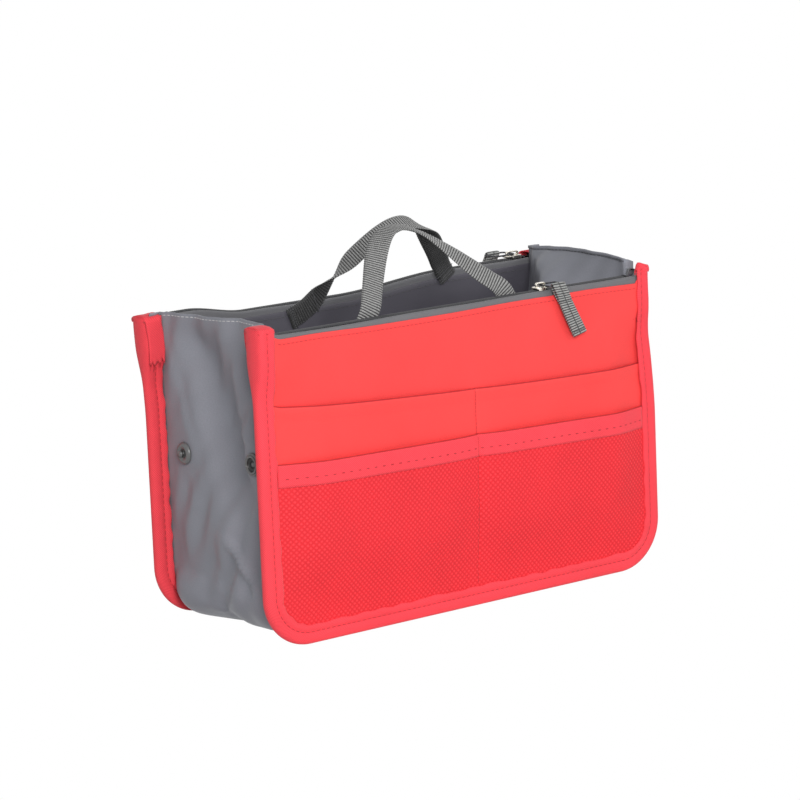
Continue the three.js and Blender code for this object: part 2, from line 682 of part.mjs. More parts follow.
function sideBaseStrip() {
  const top = BAG_HEIGHT - STRIP_TOP_DROP;
  const hem = top - STRIP_HEM_HEIGHT;
  const path = edgePath(top, [FLARE_START, FLARE_END, hem, hem + STRIP_CLOTH]);
  const rings = path.map((station) => stripRing(station, station.z > hem + STRIP_CLOTH / 2));
  let body = toManifold(loft(rings));
  for (const { x, y } of STUD_PLACES) {
    const hole = new THREE.CylinderGeometry(STUD_BORE, STUD_BORE, 2 * WEB_INSET, ROUND_SIDES);
    hole.rotateZ(Math.PI / 2);
    hole.translate(x, y, STUD_HEIGHT_ABOVE_FLOOR);
    body = body.subtract(toManifold(hole));
  }
  return fromManifold(body);
}

// Press studs: a half on the outside of the strip and a cap with a post on the inside
const STUD_BORE = STUD_POST_RADIUS + CLEARANCE;
const SIDE_FACE = HALF_WIDTH - WEB_INSET;
const STUD_PLACES = [-1, 1].flatMap((sideX) =>
  [-1, 1].map((sideY) => ({
    sideX,
    sideY,
    x: sideX * SIDE_FACE,
    y: sideY * (PANEL_SPACING / 2 - STUD_FROM_SEAM),
    label: `${sideY < 0 ? 'front' : 'rear'}_${sideX < 0 ? 'left' : 'right'}`,
  })),
);

function turned(profile) {
  return fromManifold(
    toManifold(new THREE.LatheGeometry(profile.map(([r, y]) => new THREE.Vector2(r, y)), ROUND_SIDES)),
  );
}

function studKnobHalf() {
  const plate = CLEARANCE + STUD_PLATE;
  return turned([
    [0, CLEARANCE + STUD_BORE_DEPTH],
    [STUD_BORE, CLEARANCE + STUD_BORE_DEPTH],
    [STUD_BORE, CLEARANCE],
    [STUD_RADIUS, CLEARANCE],
    [STUD_RADIUS, CLEARANCE + STUD_PLATE / 2],
    [STUD_RADIUS - STUD_PLATE / 2, plate],
    [STUD_KNOB_RADIUS, plate],
    [STUD_KNOB_RADIUS, plate + STUD_KNOB],
    [0, plate + STUD_KNOB],
  ]);
}

function studSocketHalf() {
  const plate = CLEARANCE + STUD_PLATE;
  const mouth = STUD_KNOB_RADIUS + CLEARANCE;
  return turned([
    [0, CLEARANCE + STUD_BORE_DEPTH],
    [STUD_BORE, CLEARANCE + STUD_BORE_DEPTH],
    [STUD_BORE, CLEARANCE],
    [STUD_RADIUS, CLEARANCE],
    [STUD_RADIUS, CLEARANCE + STUD_PLATE / 2],
    [STUD_RADIUS - STUD_PLATE / 2, plate],
    [mouth + STUD_PLATE / 2, plate + STUD_PLATE / 2],
    [mouth, plate + STUD_PLATE / 2],
    [mouth, plate],
    [0, plate],
  ]);
}

function studCap() {
  const post = STRIP_CLOTH + STUD_BORE_DEPTH;
  return turned([
    [0, -post],
    [STUD_POST_RADIUS, -post],
    [STUD_POST_RADIUS, CLEARANCE],
    [STUD_RADIUS, CLEARANCE],
    [STUD_RADIUS, CLEARANCE + STUD_CAP / 2],
    [STUD_RADIUS - STUD_CAP, CLEARANCE + STUD_CAP],
    [0, CLEARANCE + STUD_CAP],
  ]);
}

function addStuds(group) {
  for (const { sideX, sideY, x, y, label } of STUD_PLACES) {
    const half = sideY < 0
      ? named(`${label}_stud_socket`, studSocketHalf(), darkPlastic)
      : named(`${label}_stud_knob`, studKnobHalf(), darkPlastic);
    half.position.set(x, y, STUD_HEIGHT_ABOVE_FLOOR);
    half.rotation.z = (-sideX * Math.PI) / 2;
    const cap = named(`${label}_stud_cap`, studCap(), darkPlastic);
    cap.position.set(x - sideX * STRIP_CLOTH, y, STUD_HEIGHT_ABOVE_FLOOR);
    cap.rotation.z = (sideX * Math.PI) / 2;
    group.add(half, cap);
  }
}

const bag = new THREE.Group();
const frontPanel = panel(FRONT);
frontPanel.position.y = -PANEL_SPACING / 2;
const rearPanel = panel(REAR);
rearPanel.position.y = PANEL_SPACING / 2;
rearPanel.rotation.z = Math.PI;
bag.add(frontPanel, rearPanel, named('side_base_strip', sideBaseStrip(), greySatin));
addStuds(bag);

export default bag;
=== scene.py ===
import math

import bmesh
import bpy
import numpy as np
from mathutils import Matrix, Vector


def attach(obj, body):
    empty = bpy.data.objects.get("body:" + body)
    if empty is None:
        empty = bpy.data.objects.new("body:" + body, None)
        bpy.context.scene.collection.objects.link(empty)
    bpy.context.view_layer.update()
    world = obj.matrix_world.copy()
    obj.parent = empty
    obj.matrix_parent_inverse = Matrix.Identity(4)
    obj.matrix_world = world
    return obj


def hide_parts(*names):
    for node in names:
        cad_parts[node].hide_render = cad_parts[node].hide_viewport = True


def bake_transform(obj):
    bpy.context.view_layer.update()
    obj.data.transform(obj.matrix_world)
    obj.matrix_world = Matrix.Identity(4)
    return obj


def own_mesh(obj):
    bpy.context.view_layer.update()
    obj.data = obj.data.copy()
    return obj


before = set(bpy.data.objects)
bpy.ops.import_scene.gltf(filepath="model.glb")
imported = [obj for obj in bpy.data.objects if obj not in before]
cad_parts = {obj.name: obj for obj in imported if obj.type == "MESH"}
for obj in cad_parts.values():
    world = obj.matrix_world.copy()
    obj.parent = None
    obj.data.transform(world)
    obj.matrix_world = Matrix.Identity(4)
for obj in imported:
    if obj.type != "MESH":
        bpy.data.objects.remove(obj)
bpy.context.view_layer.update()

# Sizes in millimetres, as in the part's source
MM = 0.001
HALF_WIDTH = 137.0
BAG_HEIGHT = 170.0
PANEL_SPACING = 104.0
CORNER_RADIUS = 28.0
BINDING_WIDTH = 10.5
BINDING_TAPE = 0.7
BINDING_TOP = 169.0
BINDING_FLAP = 26.0
FLAP_SLANT = 3.0
INNER_HALF = HALF_WIDTH - BINDING_WIDTH
SHEET_INSET = 1.0
PANEL_TOP = 163.0
LINING_DROP = 0.3
HEM_HEIGHT = 12.0
DIVIDER = 4.5
SWELL = 4.5
SWELL_RUN = 30.0
SWELL_RISE = 50.0
FLARE_START = 128.0
FLARE_END = 152.0
ROOF_TOP = 166.5
ROOF_MIDDLE = 166.25
COIL_LEFT = -123.9
COIL_RIGHT = 118.0
STRAP_WIDTH = 12.0
STRAP_THICKNESS = 1.6
HINGE_LEVEL = 168.5
FOOT_OUT = -6.25
FOOT_LENGTH = 10.0
RIB_PITCH = 1.5
BAIL_LEVEL = 169.5
BAIL_FRONT = 8.05
BAIL_BACK = -2.6
BAIL_REACH = 12.0
BAIL_WIRE = 1.0
TAB_WIDTH = 9.0
TAB_LENGTH = 29.0
TAB_WEBBING = 0.8
TAB_LOOP = 7.0
TAB_SLANT_DEG = 27.0
STRIP_INSET = 11.1
STRIP_TOP = 168.0
TAPER = 4.5
REAR_SHIFT = 2.5
STUD_HEIGHT = 96.0
STUD_FROM_MIDDLE = 33.0
STUD_RADIUS = 6.2
SIDE_FACE = 126.2
SLOW_TWIST = (0.08, 0.42)
QUICK_TWIST = (0.0, 0.2)
# Each panel's slider place, and its handle: the arch as in the part's source, then how the webbing has settled
PANELS = {
    "front": {
        "slider": 57.54, "lean": 36.0, "span": 92.0, "rise": 48.0, "offset": -9.5,
        "skew": -4.0, "droop": 5.0, "splay": 0.0, "feet": (10.0, 10.0), "turn": 45.0,
        "twists": (SLOW_TWIST, SLOW_TWIST),
    },
    "rear": {
        "slider": -119.0, "lean": 30.0, "span": 89.0, "rise": 42.0, "offset": REAR_SHIFT - 23.0,
        "skew": 0.0, "droop": 0.0, "splay": 13.0, "feet": (6.0, 10.0), "turn": 90.0,
        "twists": (SLOW_TWIST, QUICK_TWIST),
    },
}


# Numbers and shapes
def smooth(value, start, end):
    t = np.clip((np.asarray(value, float) - start) / (end - start), 0.0, 1.0)
    return t * t * (3.0 - 2.0 * t)


def ripple(u, v, wavelength, seed, count=7):
    """Soft uneven waves with about unit height, the same at each run."""
    rng = np.random.default_rng(seed)
    total = 0.0
    for _ in range(count):
        angle = rng.uniform(0.0, math.pi)
        wave = wavelength * rng.uniform(0.7, 1.5)
        along = u * math.cos(angle) + v * math.sin(angle)
        total = total + np.sin(2.0 * math.pi * along / wave + rng.uniform(0.0, 6.28))
    return total / math.sqrt(count)


def taper(x, z):
    """How far the front panel's right edge is drawn in towards its top."""
    return TAPER * smooth(x, 116.0, 132.0) * smooth(z, 85.0, 160.0)


def splayed(x, z):
    """How far the rear panel's top corners stand out to the sides."""
    return (3.5 * smooth(x, 110.0, 132.0) - 6.0 * smooth(-x, 110.0, 132.0)) * smooth(z, 110.0, 168.0)


def settle(panel, x, z):
    """How far the top of a panel has risen or sunk where the bag stands."""
    if panel == "front":
        level = 2.2 * smooth(-x, 121.0, 129.0) + 4.0 * smooth(x, 126.0, 129.0) - 2.0 * smooth(x, 129.0, 137.0)
    else:
        level = -5.2 * smooth(x, -70.0, 5.0) * smooth(x, 108.0, 70.0) - 2.2 * smooth(x, 118.0, 130.0)
    return level * smooth(z, 90.0, 165.0)


def place(panel, x, out, z):
    """Row-frame points for places on a panel, given across, outwards and up."""
    x, out, z = np.broadcast_arrays(*(np.asarray(v, float) for v in (x, out, z)))
    settled = z + settle(panel, x, z)
    if panel == "front":
        return np.stack([x - taper(x, z), -PANEL_SPACING / 2 - out, settled], axis=-1)
    return np.stack([REAR_SHIFT - x - splayed(x, z), PANEL_SPACING / 2 + out, settled], axis=-1)


def flare(z):
    return smooth(z, FLARE_START, FLARE_END)


def bottom_edge(x, inset):
    beyond = np.maximum(np.abs(x) - (HALF_WIDTH - CORNER_RADIUS), 0.0)
    radius = CORNER_RADIUS - inset
    return CORNER_RADIUS - np.sqrt(np.maximum(radius**2 - beyond**2, 0.0))


def swell(x, z):
    across = 1.0 - smooth(np.abs(x), INNER_HALF - SWELL_RUN, INNER_HALF)
    low = bottom_edge(x, BINDING_WIDTH)
    rise = smooth(z - low, 0.0, SWELL_RISE)
    return SWELL * (1.0 - (1.0 - across * rise) * (1.0 - flare(z)))


def hump(x):
    """Slack of a pocket: none at the side seams and at the seam that parts it in two."""
    left = (x + INNER_HALF) / (DIVIDER + INNER_HALF)
    right = (INNER_HALF - x) / (INNER_HALF - DIVIDER)
    share = np.clip(np.where(x < DIVIDER, left, right), 0.0, 1.0)
    return 1.0 - (1.0 - np.sin(math.pi * share)) ** 3


def seam_groove(x):
    return 0.55 * np.exp(-(((x - DIVIDER) / 0.8) ** 2))


def panel_top(x):
    drop = 1.0 * smooth(x, 80.0, 124.0) - 1.2 * smooth(-x, 60.0, 110.0)
    return PANEL_TOP - drop + 0.25 * ripple(x, 0.0 * x, 80.0, 21)


def slip_mouth(x):
    side = x / 130.0
    return 120.4 - 6.2 * side + 2.2 * side**2


def hem_top(x):
    side = x / 130.0
    return 95.5 - 3.2 * side - 0.5 * side**2


def inside_mask(x, z):
    """One on the free cloth, none at the sewn edges."""
    low = bottom_edge(x, BINDING_WIDTH)
    sides = smooth(INNER_HALF - np.abs(x), 0.0, 25.0)
    return sides * smooth(z - low, 0.0, 25.0) * smooth(PANEL_TOP - z, 0.0, 12.0)


def panel_out(x, z):
    return 0.4 + swell(x, z) + 0.3 * ripple(x, z, 70.0, 3) * inside_mask(x, z)


def slip_out(x, z):
    slack = 1.8 * hump(x) * smooth(z, 40.0, 115.0)
    turned_edge = 0.3 * smooth(z, slip_mouth(x) - 5.4, slip_mouth(x) - 4.6)
    return panel_out(x, z) + 1.0 + slack + turned_edge - seam_groove(x) * smooth(z, 8.0, 30.0)


def mesh_out(x, z):
    slack = 2.6 * hump(x) * smooth(z, 10.0, 50.0)
    return slip_out(x, z) + 0.8 + slack + 0.2 * ripple(x, z, 45.0, 8) * inside_mask(x, z)


def hem_out(x, z):
    return mesh_out(x, z) + 0.45


def lining_out(x, z):
    return -0.4 - swell(x, z) - 0.35 * (1.0 + ripple(x, z, 60.0, 11)) * inside_mask(x, z)


def binding_outer(z):
    share = smooth(z, 118.0, FLARE_END)
    return 2.55 + (0.95 - 2.55) * share + SWELL * flare(z) + BINDING_TAPE / 2


def binding_inner(z):
    return 1.85 + SWELL * flare(z) + BINDING_TAPE / 2


# Mesh building
def grid_faces(rows, columns, wrap_rows=False, wrap_columns=False):
    i = np.arange(rows if wrap_rows else rows - 1)
    j = np.arange(columns if wrap_columns else columns - 1)
    a, b = np.meshgrid(i, j, indexing="ij")
    c = (a + 1) % rows
    d = (b + 1) % columns
    corners = [a * columns + b, c * columns + b, c * columns + d, a * columns + d]
    return np.stack(corners, axis=-1).reshape(-1, 4)


def new_object(name, points, faces, material, uv=None, rounded=True):
    mesh = bpy.data.meshes.new(name)
    points = np.asarray(points, float).reshape(-1, 3)
    mesh.from_pydata((points * MM).tolist(), [], [list(map(int, face)) for face in faces])
    if uv is not None:
        layer = mesh.uv_layers.new(name="cloth")
        corner = np.zeros(len(mesh.loops), int)
        mesh.loops.foreach_get("vertex_index", corner)
        flat = np.asarray(uv, float).reshape(-1, 2) * MM
        layer.data.foreach_set("uv", flat[corner].ravel())
    if rounded:
        mesh.shade_smooth()
    mesh.update()
    obj = bpy.data.objects.new(name, mesh)
    bpy.context.collection.objects.link(obj)
    mesh.materials.append(material)
    return obj


def finish_piece(obj, body, nodes=()):
    if nodes:
        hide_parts(*nodes)
    if body:
        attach(obj, body)
    return obj


def thicken(obj, thickness):
    solid = obj.modifiers.new("thickness", "SOLIDIFY")
    solid.thickness = thickness * MM
    solid.offset = 0.0
    return obj


def face_outwards(obj):
    shape = bmesh.new()
    shape.from_mesh(obj.data)
    bmesh.ops.recalc_face_normals(shape, faces=shape.faces)
    shape.to_mesh(obj.data)
    shape.free()
    return obj


def lengths_along(points, axis):
    """Distance run along one axis of a grid of points, from its start."""
    steps = np.linalg.norm(np.diff(points, axis=axis), axis=-1)
    start = np.zeros_like(np.take(steps, [0], axis=axis))
    return np.concatenate([start, np.cumsum(steps, axis=axis)], axis=axis)


def grid_normals(points):
    du = np.gradient(points, axis=0)
    dv = np.gradient(points, axis=1)
    normal = np.cross(du, dv)
    return normal / np.maximum(np.linalg.norm(normal, axis=-1, keepdims=True), 1e-9)


class Thread:
    """Rows of raised stitches that are gathered into one mesh."""

    SIDES = 6
    ALONG = np.array([-0.5, -0.4, 0.0, 0.4, 0.5])
    WIDE = np.array([0.35, 0.85, 1.0, 0.85, 0.35])
    DIP = np.array([-0.9, -0.25, 0.0, -0.25, -0.9])

    def __init__(self):
        self.points = []
        self.faces = []

    def row(self, path, normals, pitch=3.0, length=2.3, radius=0.24):
        path = np.asarray(path, float)
        normals = np.broadcast_to(np.asarray(normals, float), path.shape)
        run = lengths_along(path, 0)
        places = np.arange(pitch / 2, run[-1], pitch)
        centre = np.stack([np.interp(places, run, path[:, k]) for k in range(3)], axis=-1)
        ahead = np.stack([np.interp(places + 0.6, run, path[:, k]) for k in range(3)], axis=-1)
        behind = np.stack([np.interp(places - 0.6, run, path[:, k]) for k in range(3)], axis=-1)
        normal = np.stack([np.interp(places, run, normals[:, k]) for k in range(3)], axis=-1)
        for middle, tangent, up in zip(centre, ahead - behind, normal):
            self.stitch(middle, tangent, up, length, radius)

    def stitch(self, middle, tangent, up, length, radius):
        tangent = tangent / np.linalg.norm(tangent)
        up = up - tangent * (up @ tangent)
        up = up / np.linalg.norm(up)
        side = np.cross(up, tangent)
        around = np.arange(self.SIDES) * 2.0 * math.pi / self.SIDES
        ring = np.cos(around)[:, None] * side + np.sin(around)[:, None] * up
        first = len(self.points) * len(self.ALONG) * self.SIDES
        rings = [
            middle + tangent * length * a + up * radius * d + ring * radius * w
            for a, w, d in zip(self.ALONG, self.WIDE, self.DIP)
        ]
        self.points.append(np.concatenate(rings))
        count = len(self.ALONG)
        self.faces.extend((grid_faces(count, self.SIDES, wrap_columns=True) + first).tolist())
        last = first + (count - 1) * self.SIDES
        self.faces.append(list(range(first, first + self.SIDES)))
        self.faces.append(list(range(last, last + self.SIDES)))

    def build(self, name, material):
        return face_outwards(new_object(name, np.concatenate(self.points), self.faces, material))


# Materials
def add_node(tree, kind, inputs=None, **settings):
    node = tree.nodes.new(kind)
    for key, value in settings.items():
        setattr(node, key, value)
    for key, value in (inputs or {}).items():
        if isinstance(value, bpy.types.NodeSocket):
            tree.links.new(value, node.inputs[key])
        else:
            node.inputs[key].default_value = value
    return node


def calc(tree, operation, a, b=0.0, c=0.0):
    return add_node(tree, "ShaderNodeMath", {0: a, 1: b, 2: c}, operation=operation).outputs[0]


def spread(tree, value, low, high):
    """A noise value stretched between two limits."""
    limits = {0: value, 1: 0.3, 2: 0.7, 3: low, 4: high}
    return add_node(tree, "ShaderNodeMapRange", limits).outputs[0]


def noise_at(tree, vector, scale, detail):
    inputs = {"Vector": vector, "Scale": scale, "Detail": detail}
    return add_node(tree, "ShaderNodeTexNoise", inputs).outputs[0]


def mixed(tree, share, low, high, blend="MIX"):
    settings = {"data_type": "RGBA", "blend_type": blend}
    return add_node(tree, "ShaderNodeMix", {0: share, 6: low, 7: high}, **settings).outputs[2]


def add_relief(tree, surface, height, depth):
    inputs = {"Height": height, "Strength": 1.0, "Distance": depth * MM}
    bump = add_node(tree, "ShaderNodeBump", inputs)
    tree.links.new(bump.outputs[0], surface.inputs["Normal"])


def shader_of(name):
    material = bpy.data.materials.new(name)
    material.use_nodes = True
    tree = material.node_tree
    return material, tree, tree.nodes["Principled BSDF"]


def cloth_map(tree):
    """The cloth's own map in metres, whole and as its two lengths."""
    uv = add_node(tree, "ShaderNodeUVMap", uv_map="cloth").outputs[0]
    parts = add_node(tree, "ShaderNodeSeparateXYZ", {0: uv})
    return uv, parts.outputs[0], parts.outputs[1]


def wave(tree, value, pitch):
    """Wave from 0 to 1 along a length in metres, one turn per pitch in millimetres."""
    turned = calc(tree, "MULTIPLY", value, 2.0 * math.pi / (pitch * MM))
    return calc(tree, "MULTIPLY_ADD", calc(tree, "SINE", turned), 0.5, 0.5)


def weave_height(tree, weave, pitch, u, v):
    if weave == "mesh":
        first = wave(tree, calc(tree, "ADD", u, v), pitch)
        second = wave(tree, calc(tree, "SUBTRACT", u, v), pitch)
        return calc(tree, "MULTIPLY", first, second)
    if weave == "twill":
        return wave(tree, calc(tree, "ADD", u, v), pitch)
    return calc(tree, "MULTIPLY", wave(tree, u, pitch), wave(tree, v, pitch))


def cloth_material(name, light, dark, weave, pitch, relief, roughness, gloss=0.4, sheen=0.2, mottle=0.05):
    """Woven cloth with uneven dye, worn gloss, sheen and the relief of its yarns."""
    material, tree, surface = shader_of(name)
    uv, u, v = cloth_map(tree)
    height = weave_height(tree, weave, pitch, u, v)
    broad = noise_at(tree, uv, 28.0, 3.0)
    fine = noise_at(tree, uv, 1400.0, 2.0)
    uneven = spread(tree, broad, 1.0 - mottle, 1.0 + mottle)
    shade = calc(tree, "MULTIPLY", uneven, spread(tree, fine, 1.0 - mottle, 1.0 + mottle))
    grey = add_node(tree, "ShaderNodeCombineColor", {0: shade, 1: shade, 2: shade}).outputs[0]
    colour = mixed(tree, 1.0, mixed(tree, height, dark, light), grey, "MULTIPLY")
    tree.links.new(colour, surface.inputs["Base Color"])
    tree.links.new(spread(tree, broad, roughness - 0.05, roughness + 0.05), surface.inputs["Roughness"])
    add_relief(tree, surface, calc(tree, "MULTIPLY_ADD", fine, 0.5, height), relief)
    surface.inputs["Specular IOR Level"].default_value = gloss
    surface.inputs["Sheen Weight"].default_value = sheen
    surface.inputs["Sheen Roughness"].default_value = 0.4
    return material


def webbing_material(name, light, dark, split=False):
    """Webbing with dark lines between the ribs across it, yarns in each rib, and a line along it if split."""
    material, tree, surface = shader_of(name)
    uv, u, v = cloth_map(tree)
    limits = {0: wave(tree, u, RIB_PITCH), 1: 0.25, 2: 0.6, 3: 0.0, 4: 1.0}
    rib = add_node(tree, "ShaderNodeMapRange", limits, interpolation_type="SMOOTHSTEP").outputs[0]
    if split:
        limits = {0: calc(tree, "ABSOLUTE", v), 1: 0.2 * MM, 2: 0.6 * MM, 3: 0.15, 4: 1.0}
        rib = calc(tree, "MULTIPLY", rib, add_node(tree, "ShaderNodeMapRange", limits).outputs[0])
    uneven = spread(tree, noise_at(tree, uv, 700.0, 2.0), 0.7, 1.0)
    tree.links.new(mixed(tree, calc(tree, "MULTIPLY", rib, uneven), dark, light), surface.inputs["Base Color"])
    add_relief(tree, surface, calc(tree, "MULTIPLY", wave(tree, v, 1.1), rib), 0.15)
    surface.inputs["Roughness"].default_value = 0.62
    surface.inputs["Sheen Weight"].default_value = 0.15
    return material


def plain_material(name, colour, roughness, metallic=0.0, grain=0.02):
    material, tree, surface = shader_of(name)
    surface.inputs["Base Color"].default_value = colour
    surface.inputs["Metallic"].default_value = metallic
    noise = noise_at(tree, add_node(tree, "ShaderNodeTexCoord").outputs["Object"], 900.0, 3.0)
    tree.links.new(spread(tree, noise, roughness - 0.06, roughness + 0.1), surface.inputs["Roughness"])
    add_relief(tree, surface, noise, grain)
    return material


RED = cloth_material(
    "red_nylon", (0.96, 0.075, 0.072, 1), (0.84, 0.055, 0.055, 1), "plain", 0.6, 0.02, 0.55, gloss=0.25, sheen=0.05
)
RED_MESH = cloth_material(
    "red_mesh", (0.95, 0.056, 0.07, 1), (0.7, 0.023, 0.033, 1), "mesh", 3.0, 0.25, 0.65, gloss=0.2, sheen=0.05
)
RED_TAPE = cloth_material(
    "red_tape", (0.96, 0.082, 0.104, 1), (0.78, 0.042, 0.06, 1), "twill", 1.1, 0.1, 0.7, gloss=0.2, sheen=0.1
)
SATIN = cloth_material(
    "grey_satin", (0.285, 0.288, 0.322, 1), (0.235, 0.238, 0.267, 1), "plain", 0.5, 0.012, 0.42, gloss=0.15, sheen=0.05
)
SATIN_SHADER = SATIN.node_tree.nodes["Principled BSDF"]
SATIN_SHADER.inputs["Specular Tint"].default_value = (0.4, 0.72, 1.0, 1.0)
LINING = cloth_material("grey_lining", (0.09, 0.085, 0.104, 1), (0.072, 0.068, 0.084, 1), "plain", 0.5, 0.012, 0.5)
ZIP_CLOTH = cloth_material("zip_tape", (0.155, 0.155, 0.165, 1), (0.115, 0.115, 0.123, 1), "twill", 0.8, 0.04, 0.7)
WEBBING = webbing_material("webbing", (0.34, 0.34, 0.335, 1), (0.03, 0.03, 0.03, 1))
PULL_WEBBING = webbing_material("pull_webbing", (0.36, 0.37, 0.36, 1), (0.03, 0.03, 0.03, 1), split=True)
# Near black copy of the webbing for the straps' back faces: painted shade
WEBBING_BACK_SHADE = webbing_material("webbing_back_painted_shade", (0.035, 0.035, 0.036, 1), (0.008, 0.008, 0.008, 1))
COIL = plain_material("zip_coil", (0.045, 0.046, 0.05, 1), 0.42)
BRIGHT = plain_material("slider_metal", (0.78, 0.74, 0.66, 1), 0.22, 1.0)
WIRE = plain_material("bail_metal", (0.06, 0.06, 0.065, 1), 0.35, 1.0)
PLASTIC = plain_material("stud_plastic", (0.115, 0.117, 0.118, 1), 0.33)
# Near black for the recesses and grooves of the studs: painted shade
STUD_RECESS_SHADE = plain_material("stud_recess_painted_shade", (0.012, 0.012, 0.012, 1), 0.4)
# Thread darker than the cloth: partly its own dark red, partly painted shade of the stitch grooves
RED_THREAD = plain_material("red_thread", (0.42, 0.014, 0.022, 1), 0.7)
# Dark red for the folded top edges of the slip pocket and the pocket hem: painted shade, the shadow line at each mouth
PAINTED_FOLD_SHADE = plain_material("red_fold_painted_shade", (0.45, 0.012, 0.016, 1), 0.7)
GREY_THREAD = plain_material("grey_thread", (0.08, 0.08, 0.085, 1), 0.7)
PALE_THREAD = plain_material("pale_thread", (0.62, 0.62, 0.62, 1), 0.6)

# Folded edge of a cloth: rise above its top line and way back from its face
FOLD = np.array([[0.25, 0.1], [0.38, 0.45], [0.25, 0.8], [0.0, 0.9], [-5.0, 0.9]])
# Extra columns of a sheet at the seam that parts the pockets
SEAM_COLUMNS = DIVIDER + np.array([-2.4, -1.5, -0.8, -0.35, 0.0, 0.35, 0.8, 1.5, 2.4])
SHEET_REACH = HALF_WIDTH - SHEET_INSET


# Sheets of a panel
def sheet_points(panel, out, low, top, columns, rows, reach, side=1.0):
    """Points and map of a sheet between two lines, with its top edge folded back."""
    x = np.sort(np.concatenate([np.linspace(-reach, reach, columns), SEAM_COLUMNS]))[:, None]
    bottom = np.broadcast_to(low(x), x.shape)
    height = np.broadcast_to(top(x), x.shape) - bottom
    z = bottom + height * np.linspace(0.0, 1.0, rows)[None, :]
    face = out(x + 0.0 * z, z)
    back = face[:, -1:] - side * FOLD[None, :, 1]
    edge = z[:, -1:] + FOLD[None, :, 0]
    z = np.concatenate([z, edge], axis=1)
    face = np.concatenate([face, back], axis=1)
    points = place(panel, x + 0.0 * z, face, z)
    run = lengths_along(points, 1)
    run = run - run[:, rows - 1 : rows]
    return points, np.stack([x + 0.0 * run, run], axis=-1)


def add_sheet(name, panel, material, node, points, uv, thickness, fold=None):
    obj = new_object(name, points, grid_faces(*points.shape[:2]), material, uv)
    if fold:
        # The faces of the folded top edge take the second material: dark red painted as the shadow line at the mouth
        obj.data.materials.append(fold)
        index = np.zeros((points.shape[0] - 1, points.shape[1] - 1), int)
        index[:, -len(FOLD) :] = 1
        obj.data.polygons.foreach_set("material_index", index.ravel())
    thicken(obj, thickness)
    finish_piece(obj, f"{panel}_panel", [f"{panel}_{node}"])
    return obj


def add_panel_cloths(panel):
    low = lambda x: bottom_edge(x, SHEET_INSET)
    points, uv = sheet_points(panel, panel_out, low, panel_top, 128, 74, SHEET_REACH)
    add_sheet(f"{panel}_outer_panel_cloth", panel, RED, "outer_panel", points, uv, 0.5)
    points, uv = sheet_points(panel, slip_out, low, slip_mouth, 150, 60, SHEET_REACH)
    name = f"{panel}_slip_pocket_cloth"
    add_sheet(name, panel, RED, "slip_pocket", points, uv, 0.5, PAINTED_FOLD_SHADE)
    points, uv = sheet_points(panel, mesh_out, low, lambda x: hem_top(x) - 0.6, 170, 52, SHEET_REACH)
    add_sheet(f"{panel}_mesh_pocket_cloth", panel, RED_MESH, "mesh_pocket", points, uv, 0.5)
    hem_low = lambda x: hem_top(x) - HEM_HEIGHT
    points, uv = sheet_points(panel, hem_out, hem_low, hem_top, 170, 9, INNER_HALF - 0.2)
    name = f"{panel}_pocket_hem_tape"
    add_sheet(name, panel, RED_TAPE, "pocket_hem", points, uv, 0.45, PAINTED_FOLD_SHADE)
    lining_top = lambda x: PANEL_TOP - LINING_DROP + 0.0 * x
    points, uv = sheet_points(panel, lining_out, low, lining_top, 128, 74, SHEET_REACH, -1.0)
    add_sheet(f"{panel}_lining_cloth", panel, LINING, "lining", points, uv, 0.5)


# Tape round the edge of a panel
def edge_path(top, spacing=1.8):
    """Stations along the outer edge from the left top to the right top, each with its inward direction."""
    run = HALF_WIDTH - CORNER_RADIUS
    side = np.linspace(top, CORNER_RADIUS, int((top - CORNER_RADIUS) / spacing))
    turn = np.linspace(0.0, math.pi / 2, int(1.57 * CORNER_RADIUS / spacing) + 2)[1:]
    base = np.linspace(-run, run, int(2 * run / spacing))[1:-1]
    left = np.stack([-HALF_WIDTH + 0.0 * side, side, 1.0 + 0.0 * side, 0.0 * side], axis=-1)
    sine, cosine = np.sin(turn), np.cos(turn)
    arc = np.stack([-run - CORNER_RADIUS * cosine, CORNER_RADIUS * (1.0 - sine), cosine, sine], axis=-1)
    floor = np.stack([base, 0.0 * base, 0.0 * base, 1.0 + 0.0 * base], axis=-1)
    half = np.concatenate([left, arc])
    mirrored = half[::-1] * np.array([-1.0, 1.0, -1.0, 1.0])
    return np.concatenate([half, floor, mirrored])


def binding_section(outer, inner):
    """Depth and outward place round the folded tape: a puffed edge, a row of stitches and a flat lip."""
    wall = np.array([[10.5, -0.4], [9.7, 0.0], [8.4, 0.1], [7.2, -0.15], [6.3, -0.85], [5.4, -0.2], [4.2, 0.3]])
    angle = np.linspace(1.35, -1.35, 11)
    middle = (outer + inner) / 2
    half = (outer - inner) / 2
    front = np.stack([wall[:, 0], outer + wall[:, 1]], axis=-1)
    fold = np.stack([2.6 * (1.0 - np.cos(angle)), middle + half * np.sin(angle)], axis=-1)
    back = np.stack([wall[::-1, 0], inner - wall[::-1, 1]], axis=-1)
    return np.concatenate([front, fold, back])


